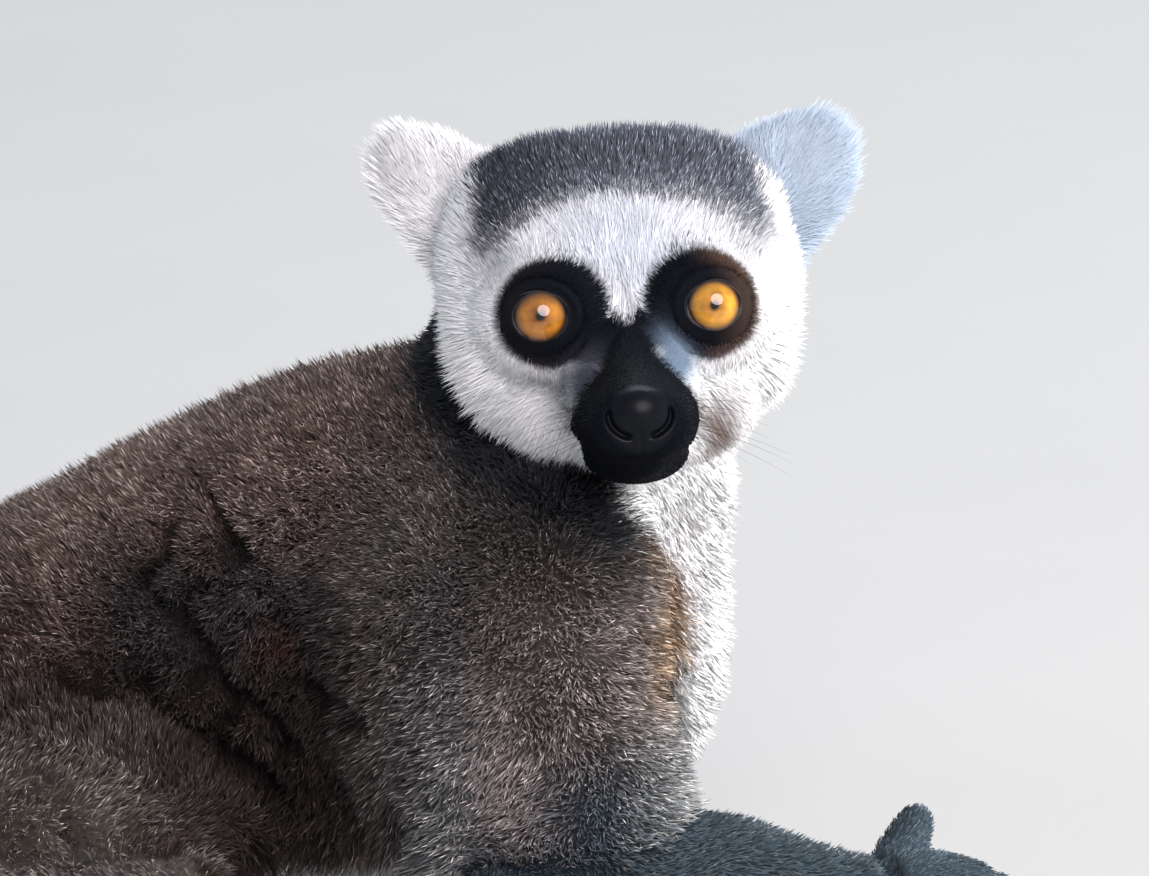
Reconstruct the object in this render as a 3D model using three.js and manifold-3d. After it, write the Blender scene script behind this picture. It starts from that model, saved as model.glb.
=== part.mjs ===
// A life-size ring-tailed lemur, still, as a museum shows one.
//
// It crouches on the floor with its haunches, feet, elbows, hands and tail down. The body faces +X
// and the right side -Y, and the head is turned over the right shoulder to face -Y.
// Every solid is drawn out to the tips of the coat. Units are millimetres, +Z is up.

import * as THREE from 'three';
import { mergeVertices } from 'three/addons/utils/BufferGeometryUtils.js';
import Module from 'manifold-3d';

const wasm = await Module();
wasm.setup();

// ---------------------------------------------------------------- driving dimensions

const SEAM = 0.3;                  // gap that parts one named piece from the next
const EYES_ABOVE_FLOOR = 138;      // middle of the two eyes
const EYES_FORWARD = -45;          // middle of the two eyes along Y, right of the body's midline
const EYE_SPACING = 35.7;          // between the two pupils
const EYEBALL = 16;                // diameter
const HEAD_NOD = -12;              // degrees: the face looks a little up
const HEAD_ROLL = -3.4;            // degrees: the left ear is carried higher
const HEAD_TURN = 1.5;             // degrees, on from a quarter turn to the right
const RIGHT_EAR_PERK = 4.5;        // how much higher the right ear's tip is held
const CHEST_FROM_WAIST = -92;      // X of the cut behind the ribs
const WAIST_FROM_RUMP = -168;      // X of the cut in front of the hips
const TAIL_LENGTHS = 6;            // pieces that the tail is told apart in
const FLOOR_REACH = 1200;          // width of the block that trims every part level at the floor

// Coat colours, in daylight.
const GREY_BROWN = 0x5c524c;
const CHARCOAL = 0x2b2d30;
const WHITE_FUR = 0xe6e6e2;
const PALE_GREY = 0x83888b;
const BLACK_SKIN = 0x1d1e21;
const AMBER = 0xc8872f;

// ---------------------------------------------------------------- shapes and cuts

const UP = new THREE.Vector3(0, 0, 1);
const AHEAD = new THREE.Vector3(1, 0, 0);
const TO_THE_RIGHT = new THREE.Vector3(0, -1, 0);

// A limb, trunk or tail length: a capsule carried along a smooth path through its stations, each
// [x, y, z, half width, half height]. `dome` is how far each end bulges, as a share of its size,
// `square` the roundness above and below (2 is an ellipse, more is fuller), `grow` an even skin.
// `facing` keeps every section square to one direction instead of square to the path.
function carried(stations, options = {}) {
  const { sides = 14, steps = 12, caps = 3, dome = [1, 1], square = [2, 2] } = options;
  const { up = UP, facing = null, grow = 0, from = 0, to = 1 } = options;
  const spine = stations.map(([x, y, z]) => new THREE.Vector3(x, y, z));
  const path = new THREE.CatmullRomCurve3(spine, false, 'centripetal');
  const sizes = stations.map((station) => new THREE.Vector3(station[3], station[4], 0));
  const girth = new THREE.CatmullRomCurve3(sizes, false, 'catmullrom', 0.5);
  const geometry = new THREE.CapsuleGeometry(1, 1, caps, sides, steps);
  const point = geometry.attributes.position;
  const side = new THREE.Vector3();
  const top = new THREE.Vector3();
  for (let i = 0; i < point.count; i += 1) {
    const along = point.getY(i) + 0.5;
    const inside = THREE.MathUtils.clamp(along, 0, 1);
    const t = THREE.MathUtils.lerp(from, to, inside);
    const place = path.getPoint(t);
    const forward = facing ?? path.getTangent(t);
    const half = girth.getPoint(t);
    side.crossVectors(forward, up).normalize();
    top.crossVectors(side, forward);
    const across = point.getX(i);
    const above = point.getZ(i);
    const turn = Math.atan2(above, across);
    const power = above > 0 ? square[0] : square[1];
    const fullness = (Math.abs(Math.cos(turn)) ** power + Math.abs(Math.sin(turn)) ** power) ** (-1 / power);
    const bulge = along < 0 ? dome[0] : dome[1];
    const beyond = (along - inside) * (bulge * Math.min(half.x, half.y) + (bulge > 0 ? grow : 0));
    place.addScaledVector(side, across * fullness * (half.x + grow));
    place.addScaledVector(top, above * fullness * (half.y + grow));
    place.addScaledVector(forward, beyond);
    point.setXYZ(i, place.x, place.y, place.z);
  }
  return geometry;
}

// An egg-shaped body about a centre, with half sizes along X, Y and Z.
function egg([x, y, z], [halfX, halfY, halfZ], { sides = 16, rings = 10, grow = 0 } = {}) {
  const geometry = new THREE.SphereGeometry(1, sides, rings);
  geometry.scale(halfX + grow, halfY + grow, halfZ + grow);
  geometry.translate(x, y, z);
  return geometry;
}

// A closed geometry as a solid that can be joined and cut.
function solid(geometry) {
  const bare = geometry.clone();
  bare.deleteAttribute('normal');
  bare.deleteAttribute('uv');
  const merged = mergeVertices(bare, 1e-4);
  const corners = Array.from(merged.index.array);
  const triangles = [];
  for (let i = 0; i < corners.length; i += 3) {
    const [a, b, c] = corners.slice(i, i + 3);
    if (a !== b && b !== c && c !== a) triangles.push(a, b, c);
  }
  return new wasm.Manifold(new wasm.Mesh({
    numProp: 3,
    vertProperties: Float32Array.from(merged.attributes.position.array),
    triVerts: Uint32Array.from(triangles),
  }));
}

function joined(...geometries) {
  return geometries.map(solid).reduce((whole, next) => whole.add(next));
}

function without(body, ...cutters) {
  return cutters.reduce((rest, cutter) => rest.subtract(cutter), body);
}

// The largest single body of a cut, without the crumbs that a grazing cut leaves.
function largest(body) {
  const bodies = body.decompose();
  bodies.sort((a, b) => b.volume() - a.volume());
  return bodies[0];
}

function block(low, high) {
  const size = high.map((value, i) => value - low[i]);
  const geometry = new THREE.BoxGeometry(...size);
  geometry.translate(...low.map((value, i) => value + size[i] / 2));
  return solid(geometry);
}

const belowFloor = block([-FLOOR_REACH, -FLOOR_REACH, -FLOOR_REACH], [FLOOR_REACH, FLOOR_REACH, 0]);

const lemur = new THREE.Group();

// Puts a solid into the scene as a named mesh, whose own origin is the middle of its box.
function show(name, body, colour, { roughness = 0.9, parent = lemur } = {}) {
  const cut = largest(body).getMesh();
  const geometry = new THREE.BufferGeometry();
  geometry.setAttribute('position', new THREE.Float32BufferAttribute(cut.vertProperties, 3));
  geometry.setIndex(Array.from(cut.triVerts));
  geometry.computeBoundingBox();
  const centre = geometry.boundingBox.getCenter(new THREE.Vector3());
  geometry.translate(-centre.x, -centre.y, -centre.z);
  geometry.computeVertexNormals();
  const material = new THREE.MeshStandardMaterial({ color: colour, roughness, metalness: 0 });
  const mesh = new THREE.Mesh(geometry, material);
  mesh.name = name;
  mesh.position.copy(centre);
  parent.add(mesh);
}

// ---------------------------------------------------------------- trunk

// From the rump to the breast, with the back highest over the shoulder blades.
const TRUNK = [
  [-250, -30, 30, 28, 24],
  [-234, -26, 30, 40, 31.5],
  [-205, -20, 32, 46, 35],
  [-170, -13, 38, 47, 38],
  [-131, -6, 47, 47, 43],
  [-98, -1, 57, 47, 50],
  [-64, 2, 64, 45, 57],
  [-38, 3, 67, 42, 57],
  [-12, 3, 67, 38, 50],
  [4, 2, 64, 31, 42],
  [12.5, 1, 62, 22, 35],
];

function trunkShape(grow = 0) {
  const form = { sides: 18, steps: 15, dome: [0.9, 0.5], square: [2.1, 2.3], facing: AHEAD };
  return carried(TRUNK, { ...form, grow });
}

// Where the trunk's midline runs along Y, for mirroring a right-side part to the left.
function midline(x) {
  const next = TRUNK.findIndex((station) => station[0] > x);
  const [behind, ahead] = [TRUNK[next - 1], TRUNK[next]];
  return THREE.MathUtils.mapLinear(x, behind[0], ahead[0], behind[1], ahead[1]);
}

// The same stations on the other side of the trunk's midline.
function mirrored(stations) {
  return stations.map(([x, y, z, w, h]) => [x, 2 * midline(x) - y, z, w, h]);
}

const trunk = solid(trunkShape());
const trunkClear = solid(trunkShape(SEAM));

function trunkBetween(rear, front) {
  return trunk.intersect(block([rear, -FLOOR_REACH, 0], [front, FLOOR_REACH, FLOOR_REACH]));
}

// ---------------------------------------------------------------- head

// The head is modelled in its own frame, looking along -Y with the middle of the eyes at the origin.
const head = new THREE.Group();
head.position.set(0, EYES_FORWARD, EYES_ABOVE_FLOOR);
const [nod, roll, turn] = [HEAD_NOD, HEAD_ROLL, HEAD_TURN].map(THREE.MathUtils.degToRad);
head.rotation.set(nod, roll, turn, 'ZXY');
head.updateMatrix();
lemur.add(head);

// Skull and cheeks in one, from the nape to the brow: broad, with a flat crown.
function craniumShape(grow = 0) {
  return carried([
    [-1, 52, 3, 18, 18],
    [-1, 44, 3, 29, 28],
    [-1, 32, 2.5, 36, 35],
    [-1, 20, 2, 38.5, 37.3],
    [-0.8, 12, -0.5, 37, 33],
    [-0.4, 6, -3, 31.5, 25],
    [0, 2.5, -5, 23, 16],
  ], { sides: 16, steps: 7, dome: [0.55, 0.25], square: [3, 2.3], facing: TO_THE_RIGHT, grow });
}

function muzzleShape(grow = 0) {
  return carried([
    [0, 10, -12, 18, 17],
    [0, -6, -16, 14.8, 13],
    [0, -19, -20, 12.4, 10.6],
    [0, -30, -22.5, 11.3, 9.2],
    [0, -36, -23, 10, 8.2],
  ], { sides: 12, steps: 5, caps: 2, dome: [0.2, 0.45], square: [2, 2.4], facing: TO_THE_RIGHT, grow });
}

function jawShape(grow = 0) {
  return carried([
    [0, 14, -27, 14, 8],
    [0, -4, -29.5, 10.5, 6],
    [0, -18, -31, 8.4, 4.6],
    [0, -28, -31, 6.4, 3.8],
  ], { sides: 12, steps: 4, caps: 2, dome: [0.2, 0.9], square: [2, 2.2], facing: TO_THE_RIGHT, grow });
}

// The bare nose pad on the muzzle's end.
function noseShape(grow = 0) {
  return egg([0, -38, -20.5], [6.6, 4.6, 5.2], { sides: 10, rings: 5, grow });
}

function eyeShape(side, grow = 0) {
  const radius = EYEBALL / 2;
  return egg([side * EYE_SPACING / 2, 5, 0], [radius, radius, radius], { sides: 12, rings: 7, grow });
}

// An ear, tip out and up, with its hollow to the front and its edges fringed with long hair.
// `perk` raises the tip.
function earShape(side, perk, grow = 0) {
  const geometry = carried([
    [31, 27, 21.5, 13, 8],
    [37.5, 26.5, 26.5, 12.6, 6.5],
    [43, 26, 31, 9.8, 4.6],
    [47.5, 25.5, 35, 6, 3],
  ], { sides: 10, steps: 5, caps: 2, dome: [0.4, 1.4], up: TO_THE_RIGHT, grow });
  const point = geometry.attributes.position;
  for (let i = 0; i < point.count; i += 1) {
    const x = point.getX(i);
    const y = point.getY(i);
    const hollow = y < 26 && x > 34 ? 0.45 : 0;
    const raised = point.getZ(i) + perk * Math.max(0, (x - 27) / 24);
    point.setXYZ(i, side * x, y + hollow * (26 - y), raised);
  }
  if (side < 0) {
    geometry.index.array.reverse();
  }
  return geometry;
}

const jaw = solid(jawShape());
const jawClear = solid(jawShape(SEAM));
const nose = solid(noseShape());
const noseClear = solid(noseShape(SEAM));
const muzzle = without(solid(muzzleShape()), jawClear, noseClear);
const muzzleClear = solid(muzzleShape(SEAM));
const eyesClear = [-1, 1].map((side) => solid(eyeShape(side, SEAM)));
const cranium = without(solid(craniumShape()), muzzleClear, jawClear, ...eyesClear);
const craniumClear = solid(craniumShape(SEAM));

show('head', cranium, WHITE_FUR, { parent: head });
show('muzzle', without(muzzle, ...eyesClear), BLACK_SKIN, { roughness: 0.6, parent: head });
show('jaw', jaw, BLACK_SKIN, { roughness: 0.7, parent: head });
show('nose', nose, BLACK_SKIN, { roughness: 0.35, parent: head });
for (const [side, name, perk] of [[-1, 'right', RIGHT_EAR_PERK], [1, 'left', 0]]) {
  show(`eye_${name}`, solid(eyeShape(side)), AMBER, { roughness: 0.05, parent: head });
  show(`ear_${name}`, without(solid(earShape(side, perk)), craniumClear), WHITE_FUR, { parent: head });
}

// The head's outline in the model's frame, to cut the neck from.
const headClear = craniumClear.add(muzzleClear).add(jawClear).transform(head.matrix.elements);

show('rump', trunkBetween(-FLOOR_REACH, WAIST_FROM_RUMP - SEAM / 2), GREY_BROWN);
show('waist', trunkBetween(WAIST_FROM_RUMP + SEAM / 2, CHEST_FROM_WAIST - SEAM / 2), GREY_BROWN);
show('chest', trunkBetween(CHEST_FROM_WAIST + SEAM / 2, FLOOR_REACH).subtract(headClear), GREY_BROWN);

// ---------------------------------------------------------------- neck

// A short thick column, twisted round to the right under its ruff of fur.
function neckShape() {
  return carried([
    [-16, 4, 74, 34, 37],
    [-11, 2, 98, 35, 38],
    [-9, -2, 118, 34, 37.5],
    [-9, -8, 134, 31, 37],
  ], { sides: 12, steps: 3, caps: 1, dome: [0.3, 0.3], up: AHEAD.clone().negate() });
}

const neck = without(solid(neckShape()), trunkClear, headClear);
show('neck', neck, CHARCOAL);

// ---------------------------------------------------------------- arms

// Three bones' lengths of one arm, as stations: upper arm, forearm and the palm.
const RIGHT_ARM = {
  upper: [
    [-18, -22, 96, 23, 21],
    [-16, -38, 80, 26, 25],
    [-13, -54, 58, 26, 24],
    [-13, -66, 38, 24, 21],
    [-18, -74, 25, 19, 16],
  ],
  lower: [
    [-27, -80, 15.5, 16, 16],
    [-4, -74, 20.5, 17, 17.5],
    [18, -63, 24, 15.5, 15.5],
    [38, -54, 19.5, 11.5, 11.5],
    [54, -46, 16.5, 9, 9.5],
  ],
  palm: [
    [55, -45, 16.5, 8.6, 8.4],
    [64, -42.5, 15.5, 11, 8.8],
    [72, -41, 14, 12, 8],
  ],
  reach: [0.97, 0.22],
  thumbLift: 11,
};

const LEFT_ARM = {
  upper: [
    [-18, 28, 95, 23, 21],
    [-21, 44, 75, 25, 24],
    [-29, 60, 52, 23, 21],
    [-36, 71, 34, 20, 18],
    [-39, 76, 23, 17, 15],
  ],
  lower: [
    [-46, 80, 15.5, 15, 15.5],
    [-31, 70, 16.5, 16, 15],
    [-15, 58, 14.5, 14, 13],
    [-2, 47, 10.5, 11, 10],
    [7, 39, 8, 9, 8.2],
  ],
  palm: [
    [9, 37, 8, 8.5, 8],
    [18, 28, 7.5, 11, 7],
    [26, 20, 6.8, 12, 6.3],
  ],
  reach: [0.72, -0.7],
  thumbLift: 2,
};

const FINGERS = [
  { offset: -10, long: 0.82 },
  { offset: -3.6, long: 1 },
  { offset: 3.6, long: 0.98 },
  { offset: 9.6, long: 0.84 },
];

// Four long fingers that arch down to the floor, and a thumb that stands off to the inside.
function handShape(arm, inside) {
  const [tip, ahead] = [arm.palm[2], arm.reach];
  const out = new THREE.Vector2(-ahead[1], ahead[0]).multiplyScalar(inside);
  const wrist = carried(arm.palm, { sides: 8, steps: 3, caps: 1, dome: [0.3, 0.8] });
  const digits = FINGERS.map(({ offset, long }) => {
    const at = (forward, spread, height, size) => [
      tip[0] + ahead[0] * forward * long + out.x * offset * spread,
      tip[1] + ahead[1] * forward * long + out.y * offset * spread,
      height,
      size,
      size,
    ];
    const knuckle = tip[2];
    return carried([
      at(-4, 0.8, knuckle, 5),
      at(8, 1.05, knuckle - 1.5, 4.4),
      at(19, 1.35, knuckle * 0.5, 3.9),
      at(29, 1.55, 2.6, 3.4),
    ], { sides: 6, steps: 3, caps: 1 });
  });
  const base = arm.palm[0];
  const thumbAt = (forward, sideways, height, size) => [
    base[0] + ahead[0] * forward + out.x * sideways,
    base[1] + ahead[1] * forward + out.y * sideways,
    base[2] + height,
    size,
    size,
  ];
  const thumb = carried([
    thumbAt(0, 2, 0, 6),
    thumbAt(5, 8, arm.thumbLift / 2, 5.6),
    thumbAt(9, 12, arm.thumbLift, 4.6),
  ], { sides: 6, steps: 2, caps: 1 });
  return joined(wrist, thumb, ...digits);
}

for (const [arm, name, inside] of [[RIGHT_ARM, 'right', 1], [LEFT_ARM, 'left', -1]]) {
  const upperForm = { sides: 12, steps: 5, caps: 1, dome: [0.6, 0.6] };
  const lowerForm = { sides: 10, steps: 5, caps: 1, dome: [0.7, 0.3] };
  const upperClear = solid(carried(arm.upper, { ...upperForm, grow: SEAM }));
  const lowerClear = solid(carried(arm.lower, { ...lowerForm, grow: SEAM }));
  const body = [trunkClear, solid(neckShape()), headClear];
  const upperArm = without(solid(carried(arm.upper, upperForm)), ...body, belowFloor);
  const forearm = without(solid(carried(arm.lower, lowerForm)), ...body, upperClear, belowFloor);
  const hand = without(handShape(arm, inside), lowerClear, belowFloor);
  show(`upper_arm_${name}`, upperArm, GREY_BROWN);
  show(`forearm_${name}`, forearm, PALE_GREY);
  show(`hand_${name}`, hand, PALE_GREY);
}

// ---------------------------------------------------------------- legs

// One folded leg, as stations on the right side.
const THIGH = [
  [-220, -38, 34, 28, 29],
  [-184, -50, 36, 29, 31],
  [-146, -61, 31, 27, 28],
  [-110, -69, 26, 23, 23],
  [-90, -73, 21, 17, 17.5],
];
const SHANK = [
  [-90, -80, 20, 15, 15],
  [-122, -87, 20, 15, 14],
  [-165, -88, 15.5, 12, 11],
  [-202, -84, 10, 9, 10],
];
const SOLE = [
  [-212, -84, 7, 8, 8],
  [-186, -90, 6.5, 9, 7.5],
  [-158, -96, 6, 10.5, 7],
  [-134, -100, 5, 12, 6.2],
];

const TOES = [
  { offset: -9.5, long: 24, spread: -0.5 },
  { offset: -3.5, long: 31, spread: -0.15 },
  { offset: 3, long: 33, spread: 0.15 },
  { offset: 9, long: 28, spread: 0.45 },
];

// The sole with its toes: the great toe stands off to the inside, and the others fan out.
function footShape(sole, outside, grow = 0) {
  const ball = sole[sole.length - 1];
  const parts = [carried(sole, { sides: 8, steps: 3, caps: 1, dome: [0.9, 0.8], grow })];
  for (const { offset, long, spread } of TOES) {
    const y = ball[1] + outside * offset;
    parts.push(carried([
      [ball[0] - 3, y, 4.6, 4.8, 4.6],
      [ball[0] + long * 0.5, y + outside * spread * long * 0.25, 4.6, 4.4, 4.2],
      [ball[0] + long, y + outside * spread * long * 0.5, 2.8, 3.8, 3.6],
    ], { sides: 6, steps: 2, caps: 1, grow }));
  }
  parts.push(carried([
    [ball[0] - 22, ball[1] - outside * 5, 5, 6, 5.5],
    [ball[0] - 10, ball[1] - outside * 15, 4.6, 5.4, 5],
    [ball[0] + 2, ball[1] - outside * 20, 3.2, 4.6, 4],
  ], { sides: 6, steps: 2, caps: 1, grow }));
  return joined(...parts);
}

for (const [name, outside] of [['right', -1], ['left', 1]]) {
  const [thigh, shank, sole] = [THIGH, SHANK, SOLE].map((part) => (outside > 0 ? mirrored(part) : part));
  const thighForm = { sides: 12, steps: 5, caps: 2, dome: [0.6, 0.9], square: [2, 2.3] };
  const shankForm = { sides: 10, steps: 4, caps: 1, dome: [0.9, 0.5] };
  const footClear = footShape(sole, outside, SEAM);
  const shankClear = solid(carried(shank, { ...shankForm, grow: SEAM }));
  const foot = without(footShape(sole, outside), belowFloor);
  const lower = without(solid(carried(shank, shankForm)), footClear, trunkClear, belowFloor);
  const upper = without(solid(carried(thigh, thighForm)), footClear, shankClear, trunkClear, belowFloor);
  show(`thigh_${name}`, upper, GREY_BROWN);
  show(`shank_${name}`, lower, PALE_GREY);
  show(`foot_${name}`, foot, PALE_GREY);
}

// ---------------------------------------------------------------- tail

// Laid on the floor round the left side, thick with fur from root to tip.
const TAIL = [
  [-234, -28, 32, 15, 16],
  [-284, -38, 20, 15.5, 16],
  [-326, -30, 16, 17, 17],
  [-356, 4, 16, 18, 17.5],
  [-364, 54, 16.5, 18.5, 18],
  [-344, 106, 17, 19, 18.5],
  [-300, 146, 17, 19.5, 18.5],
  [-244, 168, 17, 19.5, 18.5],
  [-184, 176, 17, 19.5, 18.5],
  [-126, 172, 16.5, 19, 18],
  [-74, 156, 15.5, 17.5, 17],
  [-34, 136, 11.5, 12, 13],
];

const tailRun = new THREE.CatmullRomCurve3(TAIL.map(([x, y, z]) => new THREE.Vector3(x, y, z))).getLength();

for (let i = 0; i < TAIL_LENGTHS; i += 1) {
  const first = i === 0;
  const last = i === TAIL_LENGTHS - 1;
  const gap = SEAM / 2 / tailRun;
  const length = carried(TAIL, {
    sides: 10,
    steps: 5,
    caps: first || last ? 2 : 1,
    dome: [first ? 0.5 : 0, last ? 1 : 0],
    from: first ? 0 : i / TAIL_LENGTHS + gap,
    to: last ? 1 : (i + 1) / TAIL_LENGTHS - gap,
  });
  show(`tail_${i + 1}`, without(solid(length), trunkClear, belowFloor), i % 2 ? CHARCOAL : WHITE_FUR);
}

// ---------------------------------------------------------------- origin

// The part's origin is on the floor, below the middle of its box.
lemur.updateMatrixWorld(true);
const box = new THREE.Box3().setFromObject(lemur, true);
const middle = box.getCenter(new THREE.Vector3());
lemur.position.set(-middle.x, -middle.y, -box.min.z);

export default lemur;
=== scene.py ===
"""A life-size ring-tailed lemur, crouching and looking back over its right shoulder.

One skin lies under the coat, and the coat is solid tufts rooted on it. Shapes are worked out in
millimetres, with the shoulders at the origin, and set down in metres. +X is the way the body faces.
"""
import math

import bpy
import numpy as np
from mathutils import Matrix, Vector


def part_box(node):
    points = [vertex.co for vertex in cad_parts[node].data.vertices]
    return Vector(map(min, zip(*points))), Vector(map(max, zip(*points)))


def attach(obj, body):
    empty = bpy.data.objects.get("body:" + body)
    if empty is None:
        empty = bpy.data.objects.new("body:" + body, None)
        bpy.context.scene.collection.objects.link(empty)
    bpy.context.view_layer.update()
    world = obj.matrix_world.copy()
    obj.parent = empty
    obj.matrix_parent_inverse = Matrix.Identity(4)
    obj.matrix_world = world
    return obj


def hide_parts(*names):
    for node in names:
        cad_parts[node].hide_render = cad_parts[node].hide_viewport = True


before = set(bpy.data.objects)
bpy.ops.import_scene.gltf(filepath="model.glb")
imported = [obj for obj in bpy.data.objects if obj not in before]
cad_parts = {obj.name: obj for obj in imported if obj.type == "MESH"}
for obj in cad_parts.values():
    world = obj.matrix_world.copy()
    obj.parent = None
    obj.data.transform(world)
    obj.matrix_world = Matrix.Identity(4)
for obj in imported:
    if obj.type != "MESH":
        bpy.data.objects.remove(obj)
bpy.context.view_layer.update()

# ------------------------------------------------------------------ the stand: floor, light, camera
# The model rests on a plain painted floor under large soft lamps: a warm window beyond its chest,
# a round lamp ahead for the glint in its eyes, a broad pale one behind its rump and a cool one
# on its far side for the coat's edge.

EYE_ABOVE_SHOULDERS = 138.0   # mm, middle of the eyes over the floor
EYE_RIGHT_OF_MIDLINE = -45.0  # mm along Y
EYE_SPACING = 35.7            # mm between the pupils
EYEBALL_RADIUS = 8.0          # mm
EYEBALL_BEHIND_LIDS = 5.0     # mm, ball's centre behind the face's own origin
HEAD_NOD, HEAD_ROLL, HEAD_TURN = (math.radians(a) for a in (-12.0, -3.4, 1.5))
VIEW_RISE = math.radians(12.0)
VIEW_DISTANCE = 2.4           # m from the plane of the eyes
VIEW_WIDTH = 0.2355           # m across the frame at that plane
VIEW_CENTRE = (-0.0108, -0.0260)  # m right of and above the eyes' middle
SENSOR = 36.0                 # mm


def turned(axis, angle):
    """The 3x3 matrix that turns a point by an angle about X (0), Y (1) or Z (2)."""
    c, s = math.cos(angle), math.sin(angle)
    a, b = ((1, 2), (2, 0), (0, 1))[axis]
    matrix = np.eye(3)
    matrix[a, a] = matrix[b, b] = c
    matrix[a, b], matrix[b, a] = -s, s
    return matrix


HEAD_TURNED = turned(2, HEAD_TURN) @ turned(0, HEAD_NOD) @ turned(1, HEAD_ROLL)
HEAD_AT = np.array([0.0, EYE_RIGHT_OF_MIDLINE, EYE_ABOVE_SHOULDERS])


def from_head(points):
    """Head millimetres (x to the animal's left, -y out of the face, z up) as body millimetres."""
    return points @ HEAD_TURNED.T + HEAD_AT


def to_head(points):
    """Body millimetres as head millimetres."""
    return (points - HEAD_AT) @ HEAD_TURNED


eye_boxes = [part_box("eye_right"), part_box("eye_left")]
eyes_middle = np.mean([(np.array(low) + np.array(high)) / 2 for low, high in eye_boxes], axis=0)
BODY_AT = eyes_middle * 1000 - from_head(np.array([0.0, EYEBALL_BEHIND_LIDS, 0.0]))


def metres(points):
    """Body millimetres as metres in the row's frame."""
    return (points + BODY_AT) / 1000


def aim(thing, place, target):
    """Sets a lamp or camera at a place and turns it to face a target."""
    away = Vector(place) - Vector(target)
    thing.location = place
    thing.rotation_euler = away.to_track_quat("Z", "Y").to_euler()


def stood(name, data):
    """A new object of the scene, at the origin and unturned."""
    thing = bpy.data.objects.new(name, data)
    bpy.context.scene.collection.objects.link(thing)
    return thing


def softbox(name, place, target, size, power, colour, shape="SQUARE"):
    """A soft lamp `size` metres across, of so many watts, square or round."""
    lamp = bpy.data.lights.new(name, "AREA")
    lamp.shape = shape
    lamp.size = size
    lamp.energy = power
    lamp.color = colour
    holder = stood(name, lamp)
    aim(holder, place, target)
    return holder


eyes_at = metres(from_head(np.zeros(3)))
view_back = np.array([0.0, -math.cos(VIEW_RISE), math.sin(VIEW_RISE)])
view_up = np.array([0.0, math.sin(VIEW_RISE), math.cos(VIEW_RISE)])
view_target = eyes_at + np.array([VIEW_CENTRE[0], 0, 0]) + view_up * VIEW_CENTRE[1]
camera = stood("camera", bpy.data.cameras.new("camera"))
camera.data.sensor_width = SENSOR
camera.data.lens = SENSOR * VIEW_DISTANCE / VIEW_WIDTH
camera.data.clip_end = 50
aim(camera, tuple(view_target + view_back * VIEW_DISTANCE), tuple(view_target))
bpy.context.scene.camera = camera

body_middle = (0.0, 0.0, 0.08)
softbox("window", (2.5, -0.1, 0.95), body_middle, 1.2, 140, (1.0, 0.985, 0.96)).visible_glossy = False
softbox("catch_window", (0.52, -1.66, 1.14), tuple(eyes_at), 1.25, 35, (1.0, 0.89, 0.92), "DISK")
softbox("fill", (-2.4, -1.8, 1.6), body_middle, 2.0, 21, (0.86, 0.93, 1.0)).visible_glossy = False
softbox("edge", (0.2, 2.0, 2.0), body_middle, 1.6, 40, (0.90, 0.95, 1.0))

world = bpy.data.worlds.new("hall")
world.use_nodes = True
world.node_tree.nodes["Background"].inputs["Color"].default_value = (0.80, 0.88, 1.0, 1)
world.node_tree.nodes["Background"].inputs["Strength"].default_value = 0.5
bpy.context.scene.world = world
bpy.context.scene.view_settings.view_transform = "Standard"

FLOOR_HALF = 6.0              # m
FLOOR_GREY = (0.42, 0.415, 0.405)


def new_material(name):
    """A material, its tree of nodes and its shader."""
    material = bpy.data.materials.new(name)
    material.use_nodes = True
    return material, material.node_tree, material.node_tree.nodes["Principled BSDF"]


def fill(tree, pairs):
    """Wires each input from its socket, or sets it to its value."""
    for socket, value in pairs:
        if isinstance(value, bpy.types.NodeSocket):
            tree.links.new(value, socket)
        else:
            socket.default_value = value


def wired(tree, node, **inputs):
    """The node with its inputs filled by name; _ stands for a space."""
    fill(tree, ((node.inputs[label.replace("_", " ")], value) for label, value in inputs.items()))
    return node


def new_node(tree, kind, **inputs):
    """A new shader node of a kind, with its inputs filled by name."""
    return wired(tree, tree.nodes.new("ShaderNode" + kind), **inputs)


def mix_node(tree, kind, factor, first, second):
    """The result of a new colour mix node."""
    node = tree.nodes.new("ShaderNodeMix")
    node.data_type = "RGBA"
    node.blend_type = kind
    fill(tree, ((node.inputs[0], factor), (node.inputs[6], first), (node.inputs[7], second)))
    return node.outputs[2]


def node_group(name, inputs, outputs):
    """An empty shader group with float, colour or vector sockets, its in and out nodes."""
    group = bpy.data.node_groups.new(name, "ShaderNodeTree")
    kinds = {"number": "NodeSocketFloat", "colour": "NodeSocketColor", "vector": "NodeSocketVector"}
    for label, kind in inputs:
        group.interface.new_socket(label, in_out="INPUT", socket_type=kinds[kind])
    for label, kind in outputs:
        group.interface.new_socket(label, in_out="OUTPUT", socket_type=kinds[kind])
    return group, group.nodes.new("NodeGroupInput"), group.nodes.new("NodeGroupOutput")


def mottle_group():
    """Faint clouds over paint, hair or horn: a noise mixes the darker colour into the lighter."""
    group, given, result = node_group(
        "mottle", [("Place", "vector"), ("Scale", "number"), ("Darker", "colour"), ("Lighter", "colour")],
        [("Colour", "colour")])
    place, scale, darker, lighter = given.outputs[:4]
    clouds = new_node(group, "TexNoise", Vector=place, Scale=scale, Detail=6).outputs["Fac"]
    wired(group, result, Colour=mix_node(group, "MIX", clouds, darker, lighter))
    return group


MOTTLE = mottle_group()


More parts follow.
